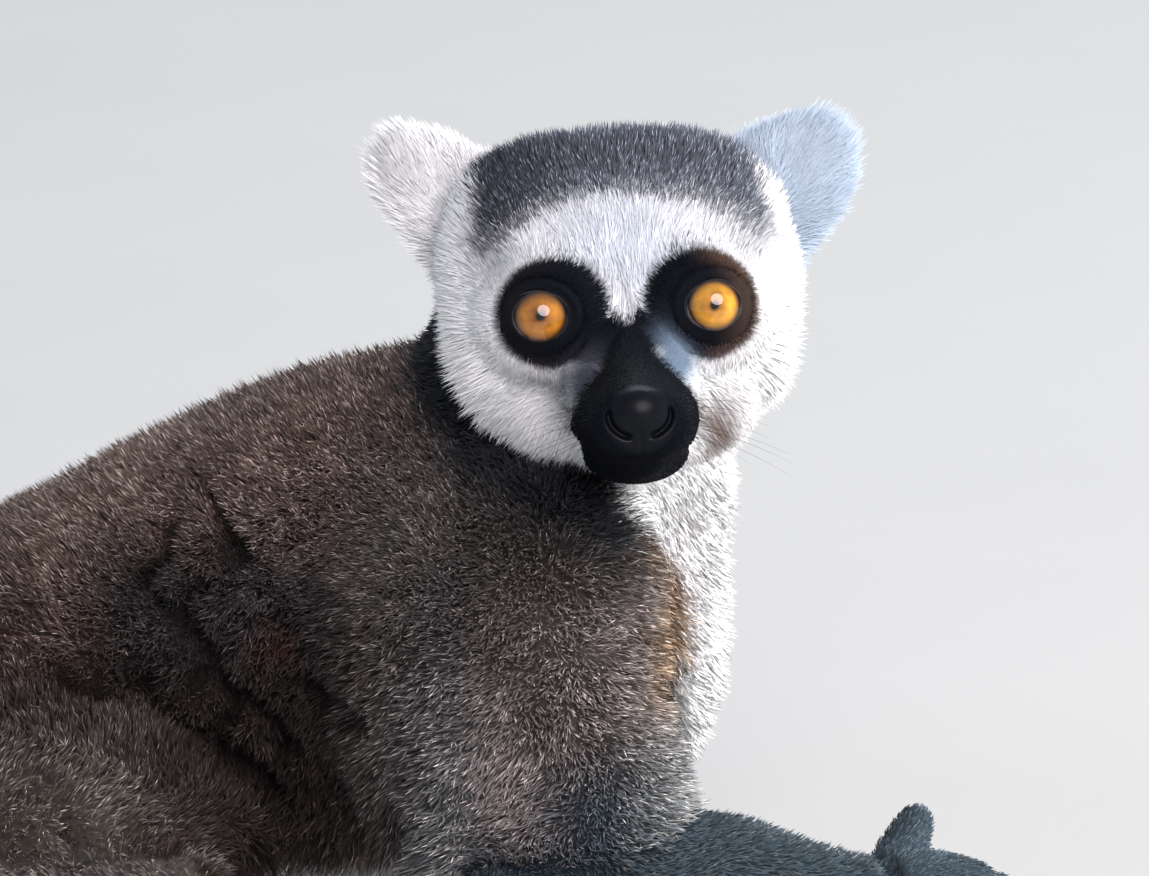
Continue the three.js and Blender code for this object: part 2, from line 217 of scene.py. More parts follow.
def plain_material(name, colour, roughness, scale):
    """Paint, hair or horn of one colour, faintly mottled by `scale` clouds to a metre."""
    material, tree, shader = new_material(name)
    place = new_node(tree, "TexCoord").outputs["Object"]
    mottle = new_node(tree, "Group")
    mottle.node_tree = MOTTLE
    wired(tree, mottle, Place=place, Scale=scale, Darker=(*(c * 0.94 for c in colour), 1),
          Lighter=(*colour, 1))
    wired(tree, shader, Base_Color=mottle.outputs["Colour"], Roughness=roughness)
    return material


floor_corners = [(x * FLOOR_HALF, y * FLOOR_HALF, 0) for x, y in ((-1, -1), (1, -1), (1, 1), (-1, 1))]
floor_mesh = bpy.data.meshes.new("floor")
floor_mesh.from_pydata(floor_corners, [], [(0, 1, 2, 3)])
floor_mesh.materials.append(plain_material("floor_paint", FLOOR_GREY, 0.75, scale=9))
floor = stood("floor", floor_mesh)

# ------------------------------------------------------------------ the body's form
# The flesh of the trunk, neck, arms, legs and tail: round lengths of muscle over bone, each one
# a row of stations [x, y, z, half width, half height] in mm to the tips of its coat.


def through(points, t, even=False):
    """Catmull-Rom curve through the points, at t from 0 to 1: each span is the cubic whose end
    slopes come from its neighbours, weighed by the root of their distance, or evenly."""
    points = np.asarray(points, float)
    spans = len(points) - 1
    start = np.clip(np.floor(t * spans).astype(int), 0, spans - 1)
    along = (t * spans - start)[:, None]
    padded = np.vstack([2 * points[0] - points[1], points, 2 * points[-1] - points[-2]])
    p0, p1, p2, p3 = (padded[start + i] for i in range(4))
    if even:
        slope1, slope2 = (p2 - p0) / 2, (p3 - p1) / 2
    else:
        d0, d1, d2 = (np.sqrt(np.linalg.norm(b - a, axis=1, keepdims=True)) for a, b in
                      ((p0, p1), (p1, p2), (p2, p3)))
        slope1 = ((p1 - p0) / d0 - (p2 - p0) / (d0 + d1) + (p2 - p1) / d1) * d1
        slope2 = ((p2 - p1) / d1 - (p3 - p1) / (d1 + d2) + (p3 - p2) / d2) * d1
    return (p1 + slope1 * along + (3 * (p2 - p1) - 2 * slope1 - slope2) * along**2
            + (2 * (p1 - p2) + slope1 + slope2) * along**3)


def unit(vectors):
    """Each vector divided by its own length."""
    return vectors / np.maximum(np.linalg.norm(vectors, axis=-1, keepdims=True), 1e-9)


def spine_of(stations, t, up=(0, 0, 1), facing=None):
    """Centres, forward, side and top directions and half sizes at t along the stations."""
    stations = np.asarray(stations, float)
    centre = through(stations[:, :3], t)
    half = through(stations[:, 3:5], t, even=True)
    if facing is None:
        step = 1e-3
        ahead = through(stations[:, :3], np.clip(t + step, 0, 1))
        behind = through(stations[:, :3], np.clip(t - step, 0, 1))
        forward = unit(ahead - behind)
    else:
        forward = np.tile(np.asarray(facing, float), (len(t), 1))
    side = unit(np.cross(forward, np.asarray(up, float)))
    return centre, forward, side, np.cross(side, forward), half


def carried(stations, depth=0.0, dome=(1, 1), square=(2, 2), up=(0, 0, 1), facing=None,
            rows=26, sides=28, cap_rows=6, least=0.8):
    """A closed tube: superellipse sections carried along the stations, less the coat's depth,
    with a bulging cap on each end. Rings run from the first pole to the last."""
    cap = np.arange(cap_rows) / cap_rows * math.pi / 2
    t = np.concatenate([np.zeros(cap_rows), np.linspace(0, 1, rows), np.ones(cap_rows)])
    thick = np.concatenate([np.sin(cap), np.ones(rows), np.cos(cap + math.pi / 2 / cap_rows)])
    beyond = np.concatenate([-np.cos(cap) * dome[0], np.zeros(rows),
                             np.sin(cap + math.pi / 2 / cap_rows) * dome[1]])
    centre, forward, side, top, half = spine_of(stations, t, up, facing)
    inset = depth / np.maximum(np.where(beyond < 0, dome[0], dome[1]), 0.05)
    reach = beyond * np.maximum(half.min(axis=1) - inset, 0)
    half = np.maximum(half - depth, least)
    turn = np.arange(sides) / sides * 2 * math.pi
    power = np.where(np.sin(turn) > 0, square[0], square[1])
    full = (np.abs(np.cos(turn))**power + np.abs(np.sin(turn))**power) ** (-1 / power)
    across = (np.cos(turn) * full)[None, :, None] * (half[:, :1] * thick[:, None])[:, None, :]
    above = (np.sin(turn) * full)[None, :, None] * (half[:, 1:] * thick[:, None])[:, None, :]
    centre = centre + forward * reach[:, None]
    return centre[:, None] + side[:, None] * across + top[:, None] * above


def closed(grid):
    """Points and faces of rings that shrink to one point at both ends."""
    rings, sides = grid.shape[:2]
    points = np.vstack([grid[0].mean(0), grid[1:-1].reshape(-1, 3), grid[-1].mean(0)])
    row = np.arange(rings - 3)[:, None] * sides + 1
    a = np.arange(sides)[None, :]
    b = (a + 1) % sides
    quads = np.stack([row + a, row + sides + a, row + sides + b, row + b], axis=-1).reshape(-1, 4)
    a, b = a[0], b[0]
    last = len(points) - 1
    first_fan = np.stack([np.zeros_like(a), 1 + a, 1 + b], axis=-1)
    end_fan = np.stack([np.full_like(a, last), last - sides + b, last - sides + a], axis=-1)
    return points, quads.tolist() + first_fan.tolist() + end_fan.tolist()


TRUNK = [
    [-250, -30, 30, 28, 24], [-234, -26, 30, 40, 31.5], [-205, -20, 32, 46, 35],
    [-170, -13, 38, 47, 38], [-131, -6, 47, 47, 43], [-98, -1, 57, 47, 50], [-64, 2, 64, 45, 57],
    [-38, 3, 67, 42, 57], [-12, 3, 67, 38, 50], [4, 2, 64, 31, 42], [12.5, 1, 62, 22, 35],
]
SHOULDER_BLADE = [[-36, -24, 94, 20, 16], [-43, -38, 76, 23, 19], [-46, -44, 58, 21, 18],
                  [-46, -44, 38, 17, 15], [-45, -40, 26, 13, 11]]
GROIN = [[-168, -34, 52, 22, 20], [-128, -46, 46, 20, 20], [-96, -52, 36, 18, 18], [-78, -50, 28, 14, 14]]
ARMPIT = [[-34, -46, 72, 17, 17], [-35, -58, 52, 16, 15], [-36, -62, 33, 15, 13], [-37, -62, 20, 13, 11]]
NECK = [[-16, 4, 74, 34, 37], [-11, 2, 98, 35, 38], [-9, -2, 118, 34, 37.5], [-9, -8, 134, 31, 37]]
RIGHT_ARM = {
    "upper": [[-18, -22, 96, 23, 21], [-16, -38, 80, 26, 25], [-13, -54, 58, 26, 24],
              [-10, -64, 39, 26.5, 21], [-16, -73, 25, 20, 16]],
    "lower": [[-27, -80, 15.5, 16, 16], [-4, -74, 20.5, 17, 17.5], [18, -63, 24, 15.5, 15.5],
              [38, -54, 19.5, 11.5, 11.5], [54, -46, 16.5, 9, 9.5]],
    "palm": [[55, -45, 16.5, 8.6, 8.4], [64, -42.5, 15.5, 11, 8.8], [72, -41, 14, 12, 8]],
    "reach": (0.97, 0.22), "thumb_lift": 11, "inside": 1,
}
LEFT_ARM = {
    "upper": [[-18, 28, 95, 23, 21], [-21, 44, 75, 25, 24], [-29, 60, 52, 23, 21],
              [-36, 71, 34, 20, 18], [-39, 76, 23, 17, 15]],
    "lower": [[-46, 80, 15.5, 15, 15.5], [-31, 70, 16.5, 16, 15], [-15, 58, 14.5, 14, 13],
              [-2, 47, 10.5, 11, 10], [7, 39, 8, 9, 8.2]],
    "palm": [[9, 37, 8, 8.5, 8], [18, 28, 7.5, 11, 7], [26, 20, 6.8, 12, 6.3]],
    "reach": (0.72, -0.7), "thumb_lift": 2, "inside": -1,
}
FINGERS = [(-10, 0.82), (-3.6, 1), (3.6, 0.98), (9.6, 0.84)]   # sideways mm, share of full length
THIGH = [[-220, -38, 34, 28, 29], [-184, -50, 36, 29, 31], [-146, -61, 31, 27, 28],
         [-110, -69, 26, 23, 23], [-90, -73, 21, 17, 17.5]]
SHANK = [[-90, -80, 20, 15, 15], [-122, -87, 20, 15, 14], [-165, -88, 15.5, 12, 11],
         [-202, -84, 10, 9, 10]]
SOLE = [[-212, -84, 7, 8, 8], [-186, -90, 6.5, 9, 7.5], [-158, -96, 6, 10.5, 7], [-134, -100, 5, 12, 6.2]]
TOES = [(-9.5, 24, -0.5), (-3.5, 31, -0.15), (3, 33, 0.15), (9, 28, 0.45)]  # sideways, long, splay
TAIL = [
    [-234, -28, 32, 15, 16], [-284, -38, 20, 15.5, 16], [-326, -30, 16, 17, 17],
    [-356, 4, 16, 18, 17.5], [-364, 54, 16.5, 18.5, 18], [-344, 106, 17, 19, 18.5],
    [-300, 146, 17, 19.5, 18.5], [-244, 168, 17, 19.5, 18.5], [-184, 176, 17, 19.5, 18.5],
    [-126, 172, 16.5, 19, 18], [-74, 156, 15.5, 17.5, 17], [-34, 136, 11.5, 12, 13],
]


def mirrored(stations):
    """The same stations on the other side of the trunk's midline."""
    trunk = np.asarray(TRUNK, float)
    return [[x, 2 * np.interp(x, trunk[:, 0], trunk[:, 1]) - y, z, w, h] for x, y, z, w, h in stations]


def finger_stations(arm):
    """Four fingers that fan out and arch down to the floor, then the thumb, as station lists."""
    ahead = np.array(arm["reach"])
    out = np.array([-ahead[1], ahead[0]]) * arm["inside"]
    tip = np.array(arm["palm"][2][:2], float)
    base = np.array(arm["palm"][0][:2], float)
    knuckle = arm["palm"][2][2]
    digits = []
    for offset, long in FINGERS:
        run = ((-4, 0.8, knuckle, 5), (8, 1.05, knuckle - 1.5, 4.4),
               (19, 1.35, knuckle * 0.5, 3.9), (29, 1.55, 2.6, 3.4))
        digits.append([[*(tip + ahead * forward * long + out * offset * spread), height, size, size]
                       for forward, spread, height, size in run])
    lift = arm["thumb_lift"]
    thumb = ((0, 2, 0, 7), (4, 8, lift * 0.4, 6.5), (8, 12, lift * 0.94, 4.8))
    digits.append([[*(base + ahead * forward + out * sideways), arm["palm"][0][2] + height, size, size]
                   for forward, sideways, height, size in thumb])
    return digits


def toe_stations(sole, outside):
    """Four toes and the great toe, which stands off to the inside, as station lists."""
    x, y = sole[-1][:2]
    digits = []
    for offset, long, splay in TOES:
        row = y + outside * offset
        aside = outside * splay * long / 4
        digits.append([[x - 3, row, 4.6, 4.8, 4.6], [x + long / 2, row + aside, 4.6, 4.4, 4.2],
                       [x + long, row + aside * 2, 2.8, 3.8, 3.6]])
    digits.append([[x - 22, y - outside * 5, 5, 6, 5.5], [x - 10, y - outside * 15, 4.6, 5.4, 5],
                   [x + 2, y - outside * 20, 3.2, 4.6, 4]])
    return digits


COAT_DEPTH = {                # mm from the coat's tips in to the skin
    "trunk": 6.5, "neck": 7.0, "arm": 5.5, "forearm": 3.5, "hand": 1.5, "thigh": 5.5,
    "shank": 3.5, "foot": 1.5, "digit": 1.0, "tail": 9.5,
}
TOWARDS_RUMP, TOWARDS_TIP = -1, 1  # the hair's lie along a form's stations
DIGIT = {"coat": "digit", "rows": 12, "sides": 14, "cap_rows": 4}
forms = []


def form(region, stations, lie=TOWARDS_TIP, coat=None, **shape):
    """Notes a length of flesh: its region, its stations, its coat's depth, which is its region's
    if no other is named, the way its hair lies, and the shape of its sections and ends."""
    forms.append({"region": region, "stations": np.asarray(stations, float), "lie": lie,
                  "depth": COAT_DEPTH[coat or region], "shape": shape})


form("trunk", TRUNK, TOWARDS_RUMP, dome=(0.9, 0.5), square=(2.1, 2.3), facing=(1, 0, 0),
     rows=44, sides=44)
form("neck", NECK, TOWARDS_RUMP, dome=(0.3, 0.3), up=(-1, 0, 0))
for stations, lie in ((SHOULDER_BLADE, TOWARDS_TIP), (ARMPIT, TOWARDS_TIP), (GROIN, TOWARDS_RUMP)):
    form("trunk", stations, lie)
    form("trunk", mirrored(stations), lie)
for arm in (RIGHT_ARM, LEFT_ARM):
    form("arm", arm["upper"], dome=(0.6, 0.6))
    form("forearm", arm["lower"], dome=(0.7, 0.3))
    form("hand", arm["palm"], dome=(0.3, 0.8))
    for digit in finger_stations(arm):
        form("hand", digit, **DIGIT)
for outside in (-1, 1):
    thigh, shank, sole = (part if outside < 0 else mirrored(part) for part in (THIGH, SHANK, SOLE))
    form("thigh", thigh, dome=(0.6, 0.9), square=(2, 2.3))
    form("shank", shank, dome=(0.9, 0.5))
    form("foot", sole, dome=(0.9, 0.8))
    for digit in toe_stations(sole, outside):
        form("foot", digit, **DIGIT)
form("tail", TAIL, dome=(0.5, 1), rows=120, sides=22)

# ------------------------------------------------------------------ the head's form
# A short fox-like head: broad flat-crowned skull, round cheeks and a narrow muzzle. Its stations
# are in the head's own frame, and y falls towards the nose.

CRANIUM = [[-1, 52, 3, 18, 18], [-1, 44, 3, 29, 28], [-1, 32, 2.5, 36, 35], [-1, 20, 2, 38.5, 37.3],
           [-0.8, 12, -0.5, 37, 33], [-0.4, 6, -3, 31.5, 25], [0, 2.5, -5, 23, 16]]
MUZZLE = [[0, 10, -12, 18, 17], [0, -6, -16, 14.8, 13], [0, -19, -20, 12.4, 10.6],
          [0, -30, -22.5, 11.3, 9.2], [0, -36, -23, 10, 8.2]]
JAW = [[0, 14, -27, 14, 8], [0, -4, -29.5, 10.5, 6], [0, -18, -31, 8.4, 4.6], [0, -28, -31, 6.4, 3.8]]
EAR = [[28, 27, 19, 10, 4.5], [35, 26.5, 25, 9, 3.0], [39.5, 26.2, 28.5, 7.2, 2.2],
       [42.5, 26, 31, 4.5, 1.5]]
NOSE_AT = (0.0, -37.0, -20.4)
NOSE_HALF = (6.9, 4.7, 5.7)
EAR_PERK = {-1: 4.5, 1: 0.0}  # mm, how much higher each ear's tip is held
TO_THE_FACE = (0, -1, 0)


def ear_points(side):
    """The ear's leaf: a flat tapered tube, hollowed to the front by a share of its distance from
    the middle, its tip raised by the perk."""
    grid = carried(EAR, 0, dome=(0.4, 0.8), up=TO_THE_FACE, rows=20, sides=28)
    x, y, z = np.moveaxis(grid, -1, 0).copy()
    y += np.where((y < 26) & (x > 33), 0.3, 0) * (26 - y)
    z += EAR_PERK[side] * np.maximum(0, (x - 27) / 24)
    grid = np.stack([side * x, y, z], axis=-1)
    return grid if side > 0 else grid[:, ::-1]


def smooth(low, high, value):
    """0 below low, 1 above high and an S-shaped rise between; falls if high is below low."""
    share = np.clip((value - low) / (high - low), 0, 1)
    return share * share * (3 - 2 * share)


def bump(value, centre, width):
    """A bell of height 1 about a centre."""
    return np.exp(-((value - centre) / width) ** 2)


def eye_distance(p):
    """How far head points lie from the nearer eye's axis, seen from the front, and the side."""
    side = np.where(p[:, 0] < 0, -1.0, 1.0)
    return np.hypot(p[:, 0] - side * EYE_SPACING / 2, p[:, 2]), side


def muzzle_half_width(z):
    """Half width of the bare black muzzle at each height, seen from the front."""
    heights = [-40, -36.5, -34.9, -33, -31, -29, -27, -24, -20.3, -17.2, -13.7, -11, -7, -4.5, -2]
    halves = [6, 7, 9, 11, 12.6, 13.4, 13.8, 14.2, 13.4, 11.6, 8.4, 6.0, 3.8, 2.0, 0]
    return np.interp(z, heights, halves)


def bareness(p):
    """1 on the bare muzzle, 0 in the coat, with a hair's breadth between."""
    x, y, z = p.T
    inside = muzzle_half_width(z) + 1.3 * bump(z, -28, 2.5) * (x < 0) - np.abs(x)
    return smooth(-0.7, 0.7, inside) * smooth(5.0, 1.5, y)


def head_coat_length(p):
    """Length of a hair on the head: long on the cheeks, short round the eyes and up the muzzle."""
    x, y, z = p.T
    eye, _ = eye_distance(p)
    front = smooth(16, 6, y)
    length = np.full(len(p), 5.4)
    cheek = smooth(20, 30, np.abs(x)) * smooth(10, -12, z)
    length += 3.2 * cheek
    length += 2.5 * smooth(25, 44, y) * smooth(20, 0, z)
    length -= 3.6 * front * smooth(15.5, 9.5, eye)
    length -= 3.0 * smooth(10, 3, np.hypot(np.abs(x) * 0.8, z + 9)) * front
    length *= 1 - 0.72 * smooth(3.0, -10.0, y) * smooth(19, 12, np.abs(x))
    return np.maximum(length, 1.5)


def head_coat_depth(p):
    """How far the skin lies inside the coat's tips."""
    return np.where(bareness(p) > 0.5, 0.35, 0.62 * head_coat_length(p))


# ------------------------------------------------------------------ the skin
# One hide over everything: dark, thin and loose, in soft folds on the flank, drawn tight over
# the face, bare and black on the muzzle. It is fleshed from the forms in three blocks, trunk with
# limbs, paws, and head, that run into each other under the coat.

BODY_GRAIN = 0.0026           # m, size of the body's facets
PAW_GRAIN = 0.00125           # m, of the hands' and feet's
HEAD_GRAIN = 1.08             # mm, of the head's
SNOUT_CUTS = 4                # facets of the snout for each of the head's, along and across
SNOUT_FROM = -26.5            # y in front of which the snout is cut finer
CREASES = [                   # folds of the flank, as (x, z) in mm
    [(-98, 77), (-92, 71), (-84, 62), (-81, 56), (-73, 52)], [(-99, 59), (-94, 50), (-84, 45), (-73, 36)],
    [(-117, 60), (-109, 54), (-106, 47), (-104, 41), (-99, 35)], [(-86, 96), (-83, 89), (-78, 81)],
    [(-64, 59), (-52, 53)], [(-92, 71), (-88, 77)], [(-84, 62), (-90, 57)], [(-81, 56), (-84, 45)],
    [(-128, 50), (-118, 44), (-112, 33)], [(-106, 47), (-97, 44)], [(-73, 52), (-70, 44)],
    [(-92, 88), (-97, 80)],
]
CREASE_HALF_WIDTH = 2.1       # mm
CREASE_DIP = 5.0              # mm
SKIN_OFF_FLOOR = 0.4          # mm


def joined(surfaces):
    """Several closed surfaces as one list of points and one of faces."""
    points, faces, count = [], [], 0
    for some_points, some_faces in surfaces:
        points.append(some_points)
        faces += [[corner + count for corner in face] for face in some_faces]
        count += len(some_points)
    return np.vstack(points), faces


def fleshed(name, points, faces, grain):
    """The outside of overlapping closed surfaces as one even skin: returns its points and its
    quads, which are one grain across. All are in the unit of the points given."""
    mesh = bpy.data.meshes.new(name)
    mesh.from_pydata(points.tolist(), [], faces)
    rough = stood(name, mesh)
    remesh = rough.modifiers.new("even", "REMESH")
    remesh.mode = "VOXEL"
    remesh.voxel_size = grain
    even = rough.evaluated_get(bpy.context.evaluated_depsgraph_get()).to_mesh()
    co = np.empty(len(even.vertices) * 3, np.float32)
    even.vertices.foreach_get("co", co)
    corners = np.empty(len(even.loops), np.int32)
    even.loops.foreach_get("vertex_index", corners)
    rough.evaluated_get(bpy.context.evaluated_depsgraph_get()).to_mesh_clear()
    bpy.data.objects.remove(rough)
    bpy.data.meshes.remove(mesh)
    return co.reshape(-1, 3).astype(float), corners.reshape(-1, 4)


def relaxed(points, quads, rounds, share=0.5):
    """Each point moved a share of the way to the mean of its neighbours, over some rounds."""
    a = quads.ravel()
    b = np.roll(quads, -1, axis=1).ravel()
    share = np.broadcast_to(np.asarray(share, float), len(points))[:, None]
    for _ in range(rounds):
        total = np.zeros_like(points)
        for axis in range(3):
            total[:, axis] = (np.bincount(a, points[b, axis], len(points))
                              + np.bincount(b, points[a, axis], len(points)))
        near = np.bincount(a, minlength=len(points)) + np.bincount(b, minlength=len(points))
        points = points + share * (total / near[:, None] - points)
    return points


def split(quads):
    """Two triangles for each quad."""
    return np.vstack([quads[:, [0, 1, 2]], quads[:, [0, 2, 3]]])


def normals_of(points, triangles):
    """Unit normals at the points: the sum of the crosses of their triangles' sides."""
    cross = np.cross(points[triangles[:, 1]] - points[triangles[:, 0]],
                     points[triangles[:, 2]] - points[triangles[:, 0]])
    total = np.zeros_like(points)
    for corner in range(3):
        for axis in range(3):
            total[:, axis] += np.bincount(triangles[:, corner], cross[:, axis], len(points))
    return unit(total)


def crease_depth(x, z):
    """1 along the middle of the flank's folds, falling to 0 as a bell beside them."""
    nearest = np.full(len(x), 1e3)
    x = x + 1.1 * np.sin(0.55 * z + 0.3 * x)
    z = z + 0.9 * np.sin(0.6 * x + 1.0)
    for line in CREASES:
        for (x0, z0), (x1, z1) in zip(line, line[1:]):
            dx, dz = x1 - x0, z1 - z0
            share = np.clip(((x - x0) * dx + (z - z0) * dz) / (dx * dx + dz * dz), 0, 1)
            nearest = np.minimum(nearest, np.hypot(x - x0 - share * dx, z - z0 - share * dz))
    return bump(nearest, 0, CREASE_HALF_WIDTH)


SPINE_STEPS = 64              # places tried along each form, three times as many on the tail


def nearest_forms(points):
    """For each point: the form whose surface is nearest, the place along it, the turn round it,
    and the way its hair lies there, blended where forms meet."""
    best = np.full(len(points), 1e9)
    number = np.zeros(len(points), int)
    along = np.zeros(len(points))
    around = np.zeros(len(points))
    lie = np.zeros_like(points)
    for i, f in enumerate(forms):
        steps = np.linspace(0, 1, SPINE_STEPS * (3 if f["region"] == "tail" else 1))
        shape = f["shape"]
        centre, forward, side, top, half = spine_of(f["stations"], steps, shape.get("up", (0, 0, 1)),
                                                    shape.get("facing"))
        half = np.maximum(half - f["depth"], 0.8)
        far = ((points**2).sum(1)[:, None] + (centre**2).sum(1)[None] - 2 * points @ centre.T)
        k = far.argmin(axis=1)
        offset = points - centre[k]
        across = (offset * side[k]).sum(1) / half[k, 0]
        above = (offset * top[k]).sum(1) / half[k, 1]
        ahead = (offset * forward[k]).sum(1) / half[k].min(axis=1)
        past = np.where((k == 0) | (k == len(steps) - 1), ahead, 0)
        gap = np.abs(np.sqrt(across**2 + above**2 + past**2) - 1) * half[k].mean(axis=1)
        lie += f["lie"] * forward[k] * (np.exp(-(gap / 5.0) ** 2) + 1e-6)[:, None]
        closer = gap < best
        best = np.where(closer, gap, best)
        number = np.where(closer, i, number)
        along = np.where(closer, steps[k], along)
        around = np.where(closer, np.arctan2(above, across), around)
    return number, along, around, unit(lie)


def block_of(name, chosen, grain):
    """The chosen forms fleshed as one block, in body millimetres, with its quads."""
    surfaces = [closed(metres(carried(f["stations"], f["depth"], **f["shape"]))) for f in chosen]
    points, quads = fleshed(name, *joined(surfaces), grain)
    return points * 1000 - BODY_AT, quads


paws = ("hand", "foot")
region_names = np.array([f["region"] for f in forms])
big_forms = [f for f in forms if f["region"] not in paws]
small_forms = [f for f in forms if f["region"] in paws]
trunk_points, trunk_quads = block_of("body_rough", big_forms, BODY_GRAIN)
trunk_region = region_names[nearest_forms(trunk_points)[0]]
slack = np.where(np.isin(trunk_region, ["trunk", "neck", "arm", "thigh"]), 0.5, 0.1)
slack = slack * smooth(0, 14, trunk_points[:, 2])
trunk_points = relaxed(trunk_points, trunk_quads, 4)
trunk_points = relaxed(trunk_points, trunk_quads, 34, slack)
paw_points, paw_quads = block_of("paws_rough", small_forms, PAW_GRAIN)
paw_points = relaxed(paw_points, paw_quads, 3)
body_points = np.vstack([trunk_points, paw_points])
body_quads = np.vstack([trunk_quads, paw_quads + len(trunk_points)])
body_normals = normals_of(body_points, split(body_quads))
on_flank = smooth(0.35, 0.75, np.abs(body_normals[:, 1])) * (body_points[:, 0] < -45)
body_points -= body_normals * (CREASE_DIP * crease_depth(body_points[:, 0], body_points[:, 2])
                               * on_flank)[:, None]
body_points[:, 2] = np.maximum(body_points[:, 2], SKIN_OFF_FLOOR)


def egg(centre, half):
    """Rings of an egg-shaped body from its back pole to its front one, round the Y axis."""
    v = np.linspace(0, math.pi, 24)[:, None]
    u = np.arange(40)[None, :] / 40 * 2 * math.pi
    grid = np.stack([np.sin(v) * np.cos(u), np.cos(v) + 0 * u, np.sin(v) * np.sin(u)], axis=-1)
    return grid * np.array(half) + np.array(centre)


head_surfaces = [
    closed(carried(stations, dome=dome, square=square, facing=TO_THE_FACE, rows=rows, sides=sides))
    for stations, dome, square, rows, sides in (
        (CRANIUM, (0.55, 0.25), (3, 2.3), 50, 72),
        (MUZZLE, (0.2, 0.45), (2, 2.4), 40, 60),
        (JAW, (0.2, 0.9), (2, 2.2), 30, 40))]
head_surfaces.append(closed(egg(NOSE_AT, NOSE_HALF)))
head_points, head_quads = fleshed("head_rough", *joined(head_surfaces), HEAD_GRAIN)
head_points = relaxed(head_points, head_quads, 9)


def cut_finer(points, quads, chosen, cuts):
    """The chosen quads cut into cuts by cuts along straight lines, the rest kept, and points at
    one place made one."""
    u, v = np.meshgrid(np.arange(cuts + 1) / cuts, np.arange(cuts + 1) / cuts, indexing="ij")
    weights = np.stack([(1 - u) * (1 - v), u * (1 - v), u * v, (1 - u) * v], axis=-1)
    fine = np.einsum("ijk,qkc->qijc", weights, points[quads[chosen]])
    grid = np.arange(fine.size // 3).reshape(fine.shape[:3]) + len(points)
    small = np.stack([grid[:, :-1, :-1], grid[:, 1:, :-1], grid[:, 1:, 1:], grid[:, :-1, 1:]], axis=-1)
    every = np.vstack([points, fine.reshape(-1, 3)])
    faces = np.vstack([quads[~chosen], small.reshape(-1, 4)])
    _, first, same = np.unique(np.round(every, 4), axis=0, return_index=True, return_inverse=True)
    faces = same.ravel()[faces]
    used, faces = np.unique(faces, return_inverse=True)
    return every[first][used], faces.reshape(-1, 4)


def socket_rim(outward):
    """y of the skin round an eye: it falls back towards the temple."""
    return 1.0 + 0.16 * outward + 0.03 * np.maximum(outward, 0) ** 2


def shaped_head(p, quads):
    """The coat's outline drawn in by the coat's depth, then the sockets pressed back and a soft
    ridge raised over each eye."""
    normals = normals_of(p, split(quads))
    p = p - normals * head_coat_depth(p)[:, None]
    p = relaxed(p, quads, 3)
    eye, side = eye_distance(p)
    front = p[:, 1] < 15
    outward = (p[:, 0] - side * EYE_SPACING / 2) * side
    pressed = smooth(13.0, 8.2, eye) * front
    p[:, 1] += pressed * (socket_rim(outward) - p[:, 1]) + 3.0 * smooth(7.2, 5.8, eye) * front
    p[:, 1] -= 1.2 * bump(eye, 12.5, 2.6) * smooth(2, 9, p[:, 2]) * front
    return p


def shaped_snout(p):
    """A low nose pad with a curved slit down each side of it, wings raised beside the slits, a
    groove from pad to lip, and the line of the mouth, which rises to its corners."""
    x, y, z = p.T
    wide = np.abs(x)
    tip = smooth(-33, -37, y)
    from_pad = np.hypot(wide - 0.7, z + 20.6)
    turn = np.degrees(np.arctan2(z + 20.6, wide - 0.7))
    slit = smooth(14, -4, turn) * smooth(-88, -66, turn) * tip
    push = 1.5 * bump(from_pad, 5.3, 0.55) * slit - 0.35 * bump(from_pad, 6.9, 1.0) * slit
    push += 0.5 * bump(x, 0, 0.4) * smooth(-23.8, -25.5, z) * smooth(-30.4, -29.5, z) * tip
    push -= 0.35 * bump(np.hypot(x, z + 21.5), 0, 3.2) * tip
    mouth = -30.2 + 0.021 * np.minimum(wide, 11) ** 2 + 0.09 * np.maximum(y + 31, 0)
    lips = bump(z, mouth, 0.45) * smooth(-8, -16, y) * (1 - 0.7 * smooth(7.5, 11, wide))
    centre = np.stack([0 * x, y * 0 - 26, z * 0 - 23], axis=1)
    inward = unit(centre - p)
    p = p + inward * (0.85 * lips)[:, None]
    p[:, 1] += push
    jowl = 0.09 * bump(z, -24.5, 4) + 0.10 * bump(z, -28.8, 1.8) - 0.32 * smooth(-29.8, -35, z)
    p[:, 0] *= 1 + smooth(-12, -22, y) * jowl
    return p


head_points = shaped_head(head_points, head_quads)
snout = (head_points[head_quads][:, :, 1] < SNOUT_FROM).all(axis=1)
head_points, head_quads = cut_finer(head_points, head_quads, snout, SNOUT_CUTS)
on_snout = smooth(SNOUT_FROM - 0.6, SNOUT_FROM - 2.2, head_points[:, 1])
head_points = relaxed(head_points, head_quads, 10, 0.5 * on_snout)
head_points = shaped_snout(head_points)
head_normals = normals_of(head_points, split(head_quads))

# ------------------------------------------------------------------ the markings
# The coat's own pattern, which skin and hair both carry: slate cap, white face with black
# rings round the eyes, charcoal nape, grey-brown back, pale limbs and a tail ringed black and white.

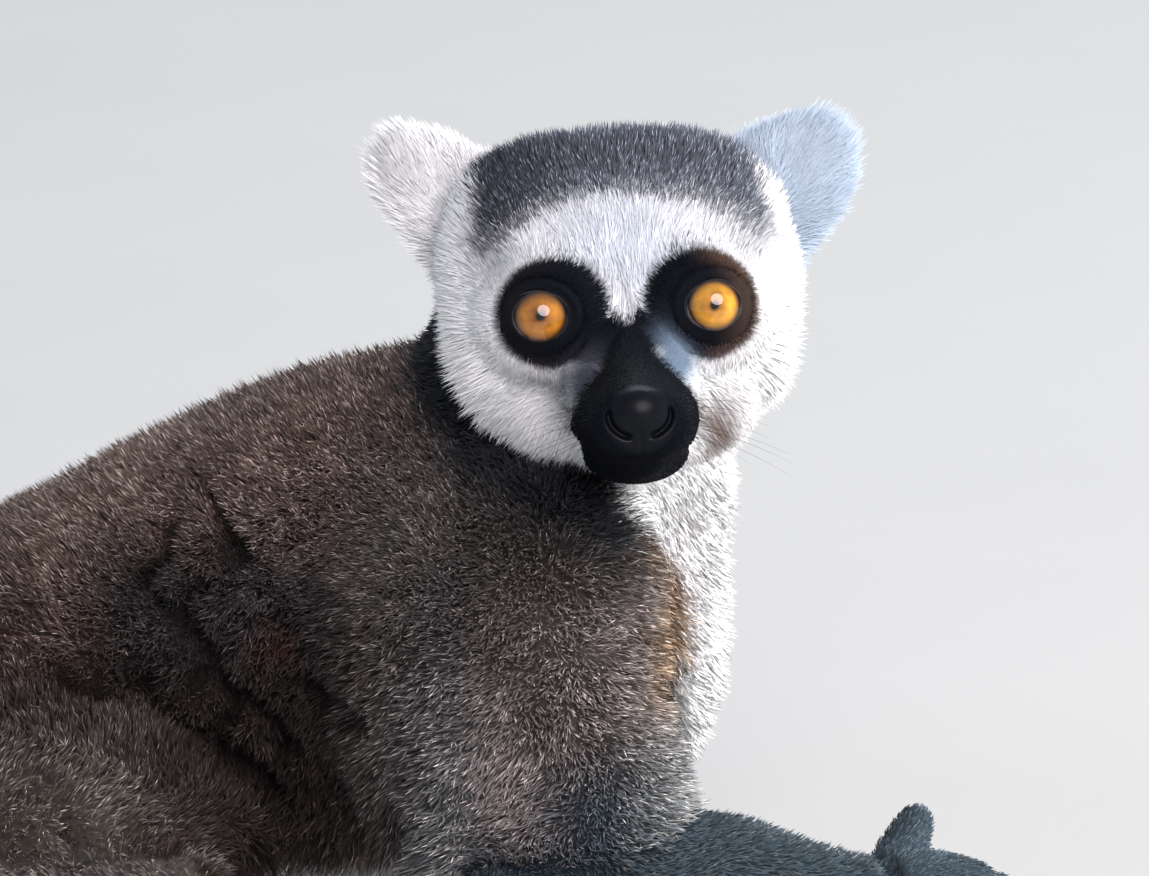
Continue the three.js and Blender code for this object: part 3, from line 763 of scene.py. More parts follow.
SLATE = np.array([0.070, 0.078, 0.095])           # the cap
WHITE = np.array([0.88, 0.885, 0.89])             # face, throat, breast and the tail's pale rings
BLACK = np.array([0.0042, 0.0055, 0.0085])        # muzzle and the rings round the eyes
CHARCOAL = np.array([0.020, 0.023, 0.028])        # nape and the tail's dark rings
BROWN = np.array([0.195, 0.130, 0.102])           # rump and the middle of the back
UPPER_GREY = np.array([0.118, 0.082, 0.069])      # the fore half of the back
SHOULDER_GREY = np.array([0.190, 0.162, 0.152])
# painted shade under the flank and in its hollows; darker, also the arm gland's own dark skin
SHADE_AND_GLAND_BROWN = np.array([0.048, 0.034, 0.029])     # the shaded underside of the flank
FLANK = np.array([0.036, 0.031, 0.033])
OLIVE = np.array([0.13, 0.112, 0.095])            # low on the haunch
ARMPIT_GREY = np.array([0.33, 0.34, 0.345])
RUST = np.array([0.055, 0.019, 0.008])            # a patch in the flank's folds
TAN = np.array([0.34, 0.215, 0.115])              # a band beside the white of the breast
# painted shade: the near forearm's grey, darkened and cast blue as in shade
SHADED_LIMB_GREY = np.array([0.048, 0.068, 0.084])       # the near forearm
HIND_GREY = np.array([0.165, 0.150, 0.138])       # shanks, feet and the far forearm
EYE_CORNER_BROWN = np.array([0.105, 0.066, 0.050])
# the lip's own brown, with painted light of the lit left side
LIP_BROWN_AND_LIGHT = np.array([0.24, 0.165, 0.135])
SMOKE_LEFT, SMOKE_RIGHT = [0.120, 0.162, 0.222], [0.085, 0.085, 0.11]  # beside the muzzle's root
BRIGHT_BROW = np.array([0.74, 0.80, 0.87])
LEFT_EAR = np.array([0.60, 0.70, 0.80])
TAIL_RINGS = 13


def mixed(base, over, share):
    """The second colour laid over the first by a share from 0 to 1 at each point."""
    return base + (over - base) * np.clip(share, 0, 1)[:, None]


def patch(across, up, middle, half):
    """A soft oval: a bell of height 1 at its middle, which falls to 1/e at its half widths."""
    return bump(np.hypot((across - middle[0]) / half[0], (up - middle[1]) / half[1]), 0, 1)


def head_colour(p):
    """Colours at head points, worked outwards from the white of the face: the slate cap with a
    temple below it, then ring and tear mark of the eye, cheek, smoke, bare muzzle and lip."""
    x, y, z = p.T
    wide = np.abs(x)
    left = x > 0
    front = smooth(19, 12, y)
    colour = mixed(np.tile(WHITE, (len(p), 1)), BRIGHT_BROW, patch(x, z, (0, 11), (15, 13)) * front)
    soft = 1.5 + 0.10 * wide
    cap = smooth(-1, 1, (z - (22.5 - 0.0135 * x * x)) / soft) * smooth(29.8, 27.6, wide)
    cap = np.maximum(cap, smooth(12, 24, y) * smooth(29.5, 27.5, wide) * smooth(2, 10, z))
    cap = np.maximum(cap, smooth(36, 44, y) * smooth(30, 26, wide))
    # the cap painted darker over its right half, as shade
    slate = SLATE * (0.72 + 0.60 * smooth(-24, -5, x))[:, None]
    colour = mixed(colour, slate, cap)
    temple = bump(wide, 25.5, 3.6) * bump(z, 14, 7) * front
    colour = mixed(colour, SLATE * 1.8, 0.75 * temple * (1 - cap))
    ring = np.hypot((wide - 15.4) / 10.2, (z - 0.5) / 10.4)
    tear = np.hypot((wide - 6.2) / 6.4, (z + np.where(left, 4.6, 6.2)) / np.where(left, 3.9, 4.9))
    dark = np.maximum(smooth(1.09, 0.93, ring), smooth(1.15, 0.88, tear)) * front
    brown_edge = smooth(0.55, 0.95, ring) * smooth(13, 20, wide) * np.where(left, 1, 0.1)
    colour = mixed(colour, BLACK * 1.2, dark)
    colour = mixed(colour, EYE_CORNER_BROWN, dark * brown_edge * 0.85)
    cheek_shade = patch(wide, z, (15.5, -12), (6.5, 2.4)) * front * (x < 0)
    colour = mixed(colour, SLATE, 0.5 * cheek_shade)
    smoke = patch(wide, z, (8.6, np.where(left, -10.5, -14.5)), (4.4, 6.0)) * front
    colour = mixed(colour, np.where(left[:, None], SMOKE_LEFT, SMOKE_RIGHT), smoke * 1.3)
    colour = mixed(colour, BLACK, bareness(p))
    # the lip's brown on the left side only: its own colour, with painted light and reflection of that lit
    # side
    lip = bump(np.hypot(wide - 15.7, (z + 24.0) * 0.6), 0, 3.4) * smooth(18, 8, y) * smooth(-22, -12, y)
    return mixed(colour, LIP_BROWN_AND_LIGHT, lip * left * 0.95)


def throat_edge(z):
    """X of the line down the breast where the dark side gives way to the white front."""
    heights = [30, 40, 50, 60, 70, 77, 84, 90, 96, 103, 120]
    places = [8, 8.5, 9.5, 10.5, 10.5, 9.2, 4.4, 0.4, -3.4, -6, -9]
    return np.interp(z, heights, places)


def scent_gland(p):
    """A bell over the small bare gland on the inner side of the right upper arm."""
    x, y, z = p.T
    return patch(x, z, (6.8, 61), (1.5, 2.1)) * (y < -30)


def body_colour(p, normals, region, tail_t):
    """Colours at body points: the back's brown shaded patch by patch into grey, olive and rust,
    then mottled, then nape, breast, armpit, belly, limbs and tail laid over it."""
    x, y, z = p.T
    right = smooth(8, -12, y)
    near = smooth(0, -30, y)
    # a painted highlight along the top of the back, where the coat faces upward
    ridge = 0.5 * smooth(0.1, 0.7, normals[:, 2]) * bump(x, -68, 24) * smooth(92, 104, z)
    back = np.tile(BROWN, (len(p), 1))
    for tint, share in (
            (UPPER_GREY, smooth(-108, -70, x)),
            # the back's painted highlight
            (BROWN * 1.05, ridge),
            # the dark of the flank, and painted shade below it on its underside
            (FLANK, smooth(92, 76, z) * smooth(-50, -64, x) * smooth(-118, -100, x) * right),
            (SHADE_AND_GLAND_BROWN * 0.8, smooth(72, 54, z) * smooth(-50, -62, x) * right),
            # the shoulder, paler on the upper arm, where a patch facing down is painted lighter as light,
            # and darker up at the nape
            (SHOULDER_GREY * 0.55, smooth(-64, -46, x) * smooth(116, 92, z)),
            (SHOULDER_GREY, smooth(-38, -22, x) * smooth(98, 74, z)),
            (SHOULDER_GREY * 2.1, patch(x, z, (-24, 50), (9, 17))),
            (SHOULDER_GREY * 0.5, smooth(112, 96, z) * smooth(76, 88, z) * smooth(-44, -30, x)),
            # the near forearm's blue-grey painted shade, low on the breast
            (SHADED_LIMB_GREY * 1.5, smooth(58, 40, z) * smooth(-24, -4, x) * near),
            # the haunch, and painted shade in the hollow between it and the elbow
            (OLIVE * 0.92, smooth(60, 42, z) * smooth(-92, -108, x)),
            (SHADE_AND_GLAND_BROWN * 0.45, 0.9 * patch(x, z, (-68, 55), (10, 7)) * right)):
        back = mixed(back, tint, share)
    back = back * (1 - 0.35 * smooth(-96, -112, x) * bump(z, 74, 14) * right)[:, None]
    for tint, share in (
            (RUST, 0.95 * patch(x, z, (-71, 67), (5.5, 4)) * right),
            (FLANK, 0.5 * patch(x, z, (-36, 78), (4, 13))),
            (FLANK, 0.4 * patch(x, z, (-18, 58), (4, 9))),
            # painted shade low on the flank, in front of the thigh
            (SHADE_AND_GLAND_BROWN * 0.9, 0.8 * patch(x, z, (-86, 36), (10, 7)) * right)):
        back = mixed(back, tint, share)
    patchy = np.sin(0.11 * x + 0.05 * z + 1.3) * np.sin(0.09 * z - 0.04 * x + y * 0.03)
    mottled = np.sin(0.31 * x - 0.22 * z + 0.2 * y) * np.sin(0.27 * z + 0.19 * x + 2.0)
    back = back * (1 + 0.16 * patchy + 0.10 * mottled)[:, None]
    skull = np.linalg.norm((to_head(p) - np.array([-1, 20, 0])) / np.array([39, 36, 37]), axis=1)
    back = mixed(back, CHARCOAL, smooth(1.38, 1.16, skull + 0.03 * mottled))
    edge = x - throat_edge(z)
    back = mixed(back, CHARCOAL, 1.3 * patch(edge, z, (-2, 93), (9, 7)))
    tan = smooth(-10, -5, edge - 6 * smooth(72, 84, z)) * smooth(52, 64, z) * smooth(92, 84, z)
    back = mixed(back, TAN * (0.9 + 0.5 * smooth(72, 56, z))[:, None], tan * 0.75)
    back = mixed(back, ARMPIT_GREY, 0.55 * smooth(-16, -4, edge) * smooth(64, 52, z) * smooth(28, 40, z))
    front = WHITE * (1.08 - 0.72 * smooth(56, 44, z) * near)[:, None]
    back = mixed(back, front, smooth(-1, 2.5, edge))
    armpit = bump(np.hypot((x + 35 + 0.06 * (z - 38)) / 5.5, (z - 36) / 26), 0, 1) * (normals[:, 1] < 0)
    back = mixed(back, ARMPIT_GREY, 0.85 * armpit)
    belly = smooth(-0.72, -0.95, normals[:, 2]) * smooth(36, 22, z)
    colour = mixed(back, WHITE * 0.8, belly)
    limb = np.isin(region, ["forearm", "hand", "shank", "foot"])
    # the near forelimb in its blue-grey painted shade, the far limbs in plain grey
    grey = mixed(np.tile(HIND_GREY, (len(p), 1)), SHADED_LIMB_GREY, smooth(-60, -30, x) * near)
    grey = grey * np.where((region == "hand") & (y < 0), 1.7, 1.0)[:, None]
    colour = np.where(limb[:, None], mixed(grey, WHITE * 0.75, belly * 0.8), colour)
    upper = (region == "arm").astype(float)
    # the lower part of the near upper arm in the same blue-grey painted shade
    forelimb = mixed(np.tile(HIND_GREY, (len(p), 1)), SHADED_LIMB_GREY * 0.9, near)
    colour = mixed(colour, forelimb, upper * smooth(44, 22, z) * (edge < 0))
    # the bare gland's own dark skin
    colour = mixed(colour, SHADE_AND_GLAND_BROWN * 0.6, 2 * scent_gland(p))
    ring = (tail_t * 2 * TAIL_RINGS) % 2
    banded = np.where(smooth(0.93, 1.07, ring)[:, None] * (1 - smooth(1.93, 2.0, ring))[:, None] > 0.5,
                      CHARCOAL * 0.8, WHITE * 0.92)
    banded = np.where((tail_t < 0.035)[:, None], BROWN, banded)
    banded = np.where((tail_t > 0.965)[:, None], CHARCOAL * 0.8, banded)
    return np.where((region == "tail")[:, None], banded, colour)


body_form, body_along, body_around, body_lie = nearest_forms(body_points)
body_region = region_names[body_form]
body_tail_t = np.where(body_region == "tail", body_along, 0)
body_tint = body_colour(body_points, body_normals, body_region, body_tail_t)
head_tint = head_colour(head_points)
ear_surfaces = [closed(ear_points(side)) for side in (-1, 1)]

# ------------------------------------------------------------------ the eyelids and the finished hide
# Eyelids are thick black rims that hug the ball, moist at the edge, with a soft fold above. They
# are laid over the head's skin, and body, head, ears and lids together are the one hide.

LID_SIDES = 96
LID_OPENING = (5.4, 4.4)      # mm, half width and half height of the opening
LID_BROWN = np.array([0.040, 0.026, 0.021])       # the outer corner
# painted highlight along the moist edge below the ball
WET_RIM_GLINT = np.array([0.60, 0.54, 0.50])            # the moist edge below the ball
LID_RINGS = np.array([        # mm beyond the opening, y, and how moist, from the ball outwards
    [-0.60, 0.60, 3.0], [-0.15, -0.55, 3.0], [0.02, -1.00, 3.0], [0.30, -1.22, 2.2], [0.75, -1.15, 1.0],
    [1.25, -0.90, 0.5], [1.80, -0.60, 0.5], [2.40, -0.28, 0.4], [3.10, 0.15, 0.3], [4.00, 1.40, 0.3]])


def lid_surface(side):
    """A rim round one eye: ten rings from under the ball's front, over the lid's edge and fold,
    out to the socket. Each is an ellipse at its own depth, drawn back to the skin's rim."""
    u = np.arange(LID_SIDES) / LID_SIDES * 2 * math.pi
    out, deep, _ = (column[:, None] for column in LID_RINGS.T)
    x = (LID_OPENING[0] + out) * np.cos(u)[None]
    z = (LID_OPENING[1] + out * 1.15) * np.sin(u)[None]
    upper = np.clip(np.sin(u), 0, 1)[None]
    fold = 0.55 * upper * bump(out, 1.25, 0.4) - 0.45 * upper * bump(out, 2.0, 0.5)
    y = deep + fold + smooth(0.3, 2.8, out) * (socket_rim(x) - socket_rim(0))
    grid = np.stack([side * x + EYE_SPACING / 2 * side, y, z], axis=-1)
    rows, sides = grid.shape[:2]
    a = np.arange(sides)
    b = (a + 1) % sides
    ways = (a, b) if side > 0 else (b, a)
    quads = [q for r in range(rows - 1) for q in
             np.stack([r * sides + ways[0], r * sides + ways[1], (r + 1) * sides + ways[1],
                       (r + 1) * sides + ways[0]], axis=-1).tolist()]
    return grid.reshape(-1, 3), quads


def new_mesh(name, points, corners, sizes, smooth_shaded):
    """A mesh in metres from points, a flat list of face corners and the faces' sizes."""
    mesh = bpy.data.meshes.new(name)
    mesh.vertices.add(len(points))
    mesh.vertices.foreach_set("co", points.astype(np.float32).ravel())
    mesh.loops.add(len(corners))
    mesh.loops.foreach_set("vertex_index", corners.astype(np.int32))
    mesh.polygons.add(len(sizes))
    starts = np.concatenate([[0], np.cumsum(sizes)[:-1]])
    mesh.polygons.foreach_set("loop_start", starts.astype(np.int32))
    mesh.polygons.foreach_set("loop_total", np.asarray(sizes, np.int32))
    mesh.polygons.foreach_set("use_smooth", np.full(len(sizes), smooth_shaded))
    mesh.update(calc_edges=True)
    return mesh


def shell(name, points, faces):
    """A smooth-shaded mesh of closed surfaces given in body millimetres."""
    corners = np.array([corner for face in faces for corner in face])
    return new_mesh(name, metres(points), corners, [len(face) for face in faces], True)


def painted(mesh, name, colours):
    """Gives the mesh's points a colour attribute."""
    layer = mesh.attributes.new(name, "FLOAT_COLOR", "POINT")
    opaque = np.column_stack([colours, np.ones(len(colours))])
    layer.data.foreach_set("color", opaque.astype(np.float32).ravel())


def measured(mesh, name, values):
    """Gives the mesh's points a number attribute."""
    layer = mesh.attributes.new(name, "FLOAT", "POINT")
    layer.data.foreach_set("value", values.astype(np.float32))


def nose_pad(p):
    """1 on the moist pad of the nose."""
    return smooth(7.6, 5.4, np.hypot(p[:, 0], p[:, 2] + 22.3)) * smooth(-34, -37, p[:, 1])


body_hide = body_tint * (0.55 + 0.4 * smooth(0.4, 0.8, body_tint.mean(axis=1)))[:, None]
head_bare = bareness(head_points) + 0.6 * nose_pad(head_points)
skin_parts = [(body_points, body_quads.tolist(), body_hide, np.zeros(len(body_points))),
              (from_head(head_points), head_quads.tolist(), head_tint, head_bare)]
for points, faces in ear_surfaces:
    tint = np.tile(WHITE * 0.8, (len(points), 1))
    skin_parts.append((from_head(points), faces, tint, np.zeros(len(points))))
for side in (-1, 1):
    points, faces = lid_surface(side)
    out, _, moist = (np.repeat(column, LID_SIDES) for column in LID_RINGS.T)
    outer = smooth(-1.5, 6.0, (points[:, 0] - side * EYE_SPACING / 2) * side) * (0.9 if side > 0 else 0.15)
    tint = mixed(np.tile(BLACK * 1.2, (len(points), 1)), LID_BROWN, outer)
    # a painted highlight along the moist lower edge of the lids, strong on the left eye and faint on the
    # right
    wet_edge_glint = bump(out, -0.05, 0.14) * smooth(0.3, -0.5, points[:, 2] / LID_OPENING[1])
    tint = mixed(tint, WET_RIM_GLINT, wet_edge_glint * (0.8 if side > 0 else 0.25))
    skin_parts.append((from_head(points), faces, tint, moist))
skin_mesh = shell("skin", *joined([part[:2] for part in skin_parts]))
painted(skin_mesh, "marking", np.vstack([part[2] for part in skin_parts]))
measured(skin_mesh, "bare", np.concatenate([part[3] for part in skin_parts]))


def math_node(tree, kind, *values):
    """The result of a new math node."""
    node = tree.nodes.new("ShaderNodeMath")
    node.operation = kind
    fill(tree, zip(node.inputs, values))
    return node.outputs[0]


def attribute(tree, name, output="Fac"):
    """One of the mesh's own attributes, as a number or, from its Color, as a colour."""
    node = tree.nodes.new("ShaderNodeAttribute")
    node.attribute_name = name
    return node.outputs[output]


def skin_material():
    """Hide under the coat, dry and matt; bare muzzle pebbled, with a soft sheen; lids and pad moist."""
    material, tree, shader = new_material("hide")
    bare = attribute(tree, "bare")
    place = new_node(tree, "TexCoord").outputs["Object"]
    pores = new_node(tree, "TexVoronoi", Vector=place, Scale=1500).outputs["Distance"]
    down = new_node(tree, "TexNoise", Vector=place, Scale=900, Detail=4).outputs["Fac"]
    tint = mix_node(tree, "MULTIPLY", 1.0, attribute(tree, "marking", "Color"),
                    math_node(tree, "MULTIPLY_ADD", down, 0.5, 0.45))
    matt = new_node(tree, "MapRange", Value=bare, From_Max=3.0, To_Min=0.80, To_Max=0.16)
    moist = new_node(tree, "MapRange", Value=bare, From_Min=1.0, From_Max=3.0, To_Max=0.55)
    height = new_node(tree, "Bump", Height=mix_node(tree, "MIX", 0.5, pores, down), Strength=0.35,
                      Distance=0.0003)
    wired(tree, shader, Base_Color=tint, Roughness=matt.outputs["Result"],
          Coat_Weight=moist.outputs["Result"], Coat_Roughness=0.30, Specular_IOR_Level=0.05,
          Normal=height.outputs["Normal"])
    return material


skin_mesh.materials.append(skin_material())
skin = stood("skin", skin_mesh)
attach(skin, "root")
flesh = [name for name in sorted(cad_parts) if not name.startswith("eye_")]
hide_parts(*flesh)

# ------------------------------------------------------------------ the eyes
# Two glossy amber balls under a clear wet cornea that bulges, the iris streaked outward from a
# pinpoint pupil to a thin dark ring. They are set deep, so the lids leave just the iris open.

IRIS_RADIUS = 5.6             # mm
CORNEA_RISE = 0.35            # mm, by which the cornea stands above the ball
CORNEA_HALF = 4.6             # mm from the pupil's middle, where the rise has mostly fallen away
BALL_SIDES = 96


def eye_material(name, side, inner, outer):
    """Black pupil, amber iris darkening to a brown-black ring, under a hard clear coat."""
    material, tree, shader = new_material(name)
    place = new_node(tree, "TexCoord").outputs["Object"]
    streaks = new_node(tree, "TexNoise", Vector=place, Scale=420, Detail=5).outputs["Fac"]
    wander = math_node(tree, "MULTIPLY_ADD", streaks, 0.10, -0.05)
    ramp = new_node(tree, "ValToRGB", Fac=math_node(tree, "ADD", attribute(tree, "iris"), wander))
    stops = ((0.0, (0.002, 0.002, 0.003)), (0.12, (0.002, 0.002, 0.003)),
             (0.16, tuple(c * 0.35 for c in inner)), (0.25, inner), (0.60, outer),
             (0.76, tuple(c * 0.7 for c in outer)), (0.88, (0.06, 0.024, 0.008)),
             (0.95, (0.006, 0.005, 0.005)))
    ramp.color_ramp.elements[0].position = stops[0][0]
    ramp.color_ramp.elements[1].position = stops[-1][0]
    for position, _ in stops[1:-1]:
        ramp.color_ramp.elements.new(position)
    for element, (_, colour) in zip(ramp.color_ramp.elements, stops):
        element.color = (*colour, 1)
    # painted shadow of the upper lid across the iris, deeper on the right eye
    lid_shadow = -0.55 if side < 0 else -0.30
    fleck = math_node(tree, "MULTIPLY", math_node(tree, "MULTIPLY_ADD", streaks, 1.3, 0.30),
                      math_node(tree, "MULTIPLY_ADD", attribute(tree, "under_lid"), lid_shadow, 1.0))
    wired(tree, shader, Base_Color=mix_node(tree, "MULTIPLY", 1.0, ramp.outputs["Color"], fleck),
          Roughness=0.5, Specular_IOR_Level=0.08, Coat_Weight=1.0, Coat_Roughness=0.04, Coat_IOR=1.6)
    return material


def eyeball(side, name, iris_inner, iris_outer):
    """A ball turned about the way it looks, raised by a bell over the iris; the attribute `iris`
    holds each point's distance from the pupil's middle as a share of the iris."""
    v = np.concatenate([np.linspace(0, 0.9, 70), np.linspace(0.92, math.pi, 40)])[:, None]
    u = np.arange(BALL_SIDES)[None, :] / BALL_SIDES * 2 * math.pi
    flat = EYEBALL_RADIUS * np.sin(v)
    radius = EYEBALL_RADIUS + CORNEA_RISE * np.exp(-(flat / CORNEA_HALF) ** 4) * (v < 1.5)
    grid = np.stack([radius * np.sin(v) * np.cos(u), -radius * np.cos(v) + 0 * u,
                     radius * np.sin(v) * np.sin(u)], axis=-1)
    grid = grid + np.array([side * EYE_SPACING / 2, EYEBALL_BEHIND_LIDS, 0])
    points, faces = closed(grid)
    mesh = shell(name, from_head(points), faces)
    share = np.hypot(points[:, 0] - side * EYE_SPACING / 2, points[:, 2]) / IRIS_RADIUS
    measured(mesh, "iris", np.where(points[:, 1] < EYEBALL_BEHIND_LIDS, share, 2.0))
    # how high a point lies under the upper lid, for the iris's painted lid shadow
    measured(mesh, "under_lid", smooth(0.05, 0.85, points[:, 2] / IRIS_RADIUS))
    mesh.materials.append(eye_material(name + "_glass", side, iris_inner, iris_outer))
    ball = stood(name, mesh)
    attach(ball, "root")
    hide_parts(name.replace("ball", "eye"))


# One amber in two copies: the right iris darker as painted shade, the left lighter as painted light.
eyeball(-1, "ball_right", (0.24, 0.085, 0.012), (0.40, 0.155, 0.018))
eyeball(1, "ball_left", (0.42, 0.175, 0.018), (0.60, 0.275, 0.026))

# ------------------------------------------------------------------ the coat
# Dense hair in thin overlapping locks, each one solid sliver of four facets that is rooted in the
# skin. Its colour is the marking under its root, darkened there by painted shade and ticked towards its
# tip.

TUFT_SEED = 7
ROOT_DEPTH = 0.5              # mm of each lock inside the skin
HAIR_OFF_FLOOR = 0.3          # mm
SILKY, WOOLLY = 0.42, 0.58    # share of its length where a lock is widest
ARCH = 0.06                   # how far its middle stands above its chord, as a share of its length
PATCH = 0.003                 # width of a lock's place on the unwrap
random = np.random.default_rng(TUFT_SEED)


def rooted(points, triangles, weight, count):
    """Places for `count` locks over triangles, by area times weight, evenly dealt along the list:
    returns triangle numbers and shares of their three corners."""
    a, b, c = (points[triangles[:, i]] for i in range(3))
    area = np.linalg.norm(np.cross(b - a, c - a), axis=1) / 2
    total = np.cumsum(area * weight)
    marks = (np.arange(count) + random.random(count)) / count * total[-1]
    chosen = np.minimum(np.searchsorted(total, marks), len(triangles) - 1)
    u, v = random.random(count), random.random(count)
    over = u + v > 1
    u, v = np.where(over, 1 - u, u), np.where(over, 1 - v, v)
    return chosen, np.stack([1 - u - v, u, v], axis=1)


def shared_out(values, triangles, chosen, shares):
    """Values at the points, carried to the roots."""
    return np.einsum("ij,ij...->i...", shares, values[triangles[chosen]])


def swirl(p, size):
    """Two smooth waves from -1 to 1 over the body, for locks that lean together."""
    x, y, z = p.T / size
    return (np.sin(2.1 * x + 1.7 * z + 0.8 * np.sin(1.9 * y)) * np.cos(1.3 * z - 0.9 * y + x),
            np.sin(1.6 * y + 2.3 * z - 1.2 * np.sin(1.4 * x)) * np.cos(1.8 * x + 0.7 * y))


CELL_STIR = np.array([[12.99, 39.35, 73.16], [78.23, 11.14, 52.24], [37.72, 83.16, 9.15]])
CURL_SIZE = 2.6               # mm across one curl of the wool


def tousle(p, size):
    """Three chance numbers from -1 to 1 for each point, alike for all in one wavy cell `size` mm
    across: the fraction of a large sine of the cell's number."""
    cell = np.floor(p / size + 0.4 * np.sin(p[:, [1, 2, 0]] * 1.7 / size))
    return 2 * ((np.sin(cell @ CELL_STIR) * 43758.5) % 1) - 1


def locks(roots, normals, lie, length, width, lift, stray, size=9.0, curl=0.0, widest=SILKY):
    """Four corners for each lock: a buried root, two widest points arched above the straight line
    from root to tip, and the tip. Locks lean along the lie, turned by the swirl, by curls of a few
    millimetres and by chance."""
    lie = unit(lie - (lie * normals).sum(1)[:, None] * normals)
    across = np.cross(normals, lie)
    first, second = swirl(roots, size)
    curls = tousle(roots, CURL_SIZE) * np.broadcast_to(curl, len(roots))[:, None]
    yaw = 0.30 * first + curls[:, 0] + random.normal(0, stray, len(roots))
    rise = lift + 0.12 * second + 0.4 * curls[:, 1] + random.normal(0, stray * 0.5, len(roots))
    rise = np.clip(rise, 0.12, 1.45)
    lie, across = (lie * np.cos(yaw)[:, None] + across * np.sin(yaw)[:, None],
                   across * np.cos(yaw)[:, None] - lie * np.sin(yaw)[:, None])
    way = lie * np.cos(rise)[:, None] + normals * np.sin(rise)[:, None]
    length = length * random.uniform(0.74, 1.10, len(roots))
    middle = roots + way * (length * widest)[:, None] + normals * (length * ARCH)[:, None]
    half = across * (width * random.uniform(0.75, 1.3, len(roots)) / 2)[:, None]
    tip = roots + way * length[:, None]
    return np.stack([roots - normals * ROOT_DEPTH, middle + half, middle - half, tip], axis=1)


def ticks(colour, pale, dark):
    """How much lighter, or darker below 0, each lock's tip is than its marking. One lock in three
    is pale at the tip and two in five are dark; white and black hair hardly varies."""
    light = colour.mean(axis=1)
    grey = smooth(0.5, 0.25, light)
    chance = random.random(len(colour))
    paler = np.clip((chance - 0.68) / 0.32, 0, 1) ** 1.2
    tip = pale * grey * (0.15 + 0.85 * smooth(0.012, 0.04, light)) * paler
    return tip - (0.10 + (dark - 0.10) * grey) * np.clip((0.4 - chance) / 0.4, 0, 1)


LOCK_FACES = np.array([[0, 2, 1], [3, 1, 2], [0, 1, 3], [0, 3, 2]])
LOCK_PATCH = np.array([[0, -0.5], [0.5, 0], [-0.5, 0], [0, 0.5]]) * PATCH


def coat_piece(name, corners, normals, rough, colour, tick, unwrap, slot, widest=SILKY):
    """One mesh of locks with its markings, the place along each lock, how pale its tip is and its
    unwrap map: each lock is a small patch where its root lies on the unwrapped skin. Locks are
    shaded like the skin they stand on, each turned a little by chance, as soft hair is."""
    count = len(corners)
    corners[..., 2] = np.maximum(corners[..., 2], HAIR_OFF_FLOOR)
    faces = (np.arange(count)[:, None, None] * 4 + LOCK_FACES[None]).ravel()
    rounded = normals is not None
    mesh = new_mesh(name, metres(corners.reshape(-1, 3)), faces, np.full(count * 4, 3), rounded)
    if rounded:
        facing = mesh.attributes.new("custom_normal", "FLOAT_VECTOR", "POINT")
        turned_normals = np.repeat(unit(normals + random.normal(0, rough, normals.shape)), 4, axis=0)
        facing.data.foreach_set("vector", turned_normals.astype(np.float32).ravel())
    painted(mesh, "marking", np.repeat(colour, 4, axis=0))
    measured(mesh, "along", np.tile(np.array([0, widest, widest, 1.0]), count))
    measured(mesh, "tick", np.repeat(tick, 4))
    uv = 0.004 + np.clip(unwrap, 0, 1)[:, None, :] * 0.992 + LOCK_PATCH[None]
    layer = mesh.uv_layers.new(name="OFBake")
    by_corner = uv.reshape(-1, 2)[faces]
    layer.data.foreach_set("uv", by_corner.astype(np.float32).ravel())
    mesh.materials.append(COATS[slot])
    piece = stood(name, mesh)
    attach(piece, "root")


def lock_group():
    """Shading of a lock: dark at its root with painted shade, then its marking's colour, lighter or
    darker by its tick towards the tip."""
    group, given, result = node_group(
        "lock_shading",
        [("Marking", "colour"), ("Along", "number"), ("Tick", "number"), ("Root shade", "number")],
        [("Colour", "colour")])
    marking, along, tick, root_shade = given.outputs[:4]
    grey = new_node(group, "RGBToBW", Color=marking).outputs["Val"]
    darkest = math_node(group, "MAXIMUM", root_shade, math_node(group, "MULTIPLY", grey, 0.95))
    root = new_node(group, "MapRange", Value=along, From_Max=0.95, To_Min=darkest).outputs["Result"]
    tip = new_node(group, "MapRange", Value=along, From_Min=0.60, From_Max=0.80).outputs["Result"]
    ticked = math_node(group, "ADD", math_node(group, "MULTIPLY", tick, tip), 1.0)
    light = math_node(group, "MAXIMUM", math_node(group, "MULTIPLY", ticked, root), 0.05)
    wired(group, result, Colour=mix_node(group, "MULTIPLY", 1.0, marking, light))
    return group


LOCK_SHADING = lock_group()


def coat_material(name, root_shade, roughness, gloss):
    """Hair of one part of the coat: the lock shading under a soft, dry gloss."""
    material, tree, shader = new_material(name)
    shading = new_node(tree, "Group")
    shading.node_tree = LOCK_SHADING
    wired(tree, shading, Marking=attribute(tree, "marking", "Color"), Along=attribute(tree, "along"),
          Tick=attribute(tree, "tick"), Root_shade=root_shade)
    wired(tree, shader, Base_Color=shading.outputs["Colour"], Roughness=roughness,
          Specular_IOR_Level=gloss)
    return material


COATS = {                     # root shade, roughness and gloss of each part's hair
    "back_fur": coat_material("woolly_back_hair", 0.25, 0.65, 0.2),
    "neck_fur": coat_material("nape_hair", 0.40, 0.65, 0.15),
    "face_fur": coat_material("silky_face_hair", 0.70, 0.65, 0.06),
    "limb_fur": coat_material("short_limb_hair", 0.40, 0.65, 0.2),
    "tail_fur": coat_material("soft_tail_hair", 0.5, 0.65, 0.12),
}

# ------------------------------------------------------------------ the coat of the body
# Woolly and ticked pale and dark on the trunk, longer on the nape, short and smooth on forearms,
# shanks, hands and feet, long and soft on the tail. It lies backwards and hangs down the flanks.

body_triangles = split(body_quads)
triangle_region = body_region[body_triangles[:, 0]]
triangle_middle = body_points[body_triangles].mean(axis=1)
body_around_cos, body_around_sin = np.cos(body_around), np.sin(body_around)
head_middle = np.array([-1.0, -22.0, 138.0])      # the skull's, in body mm

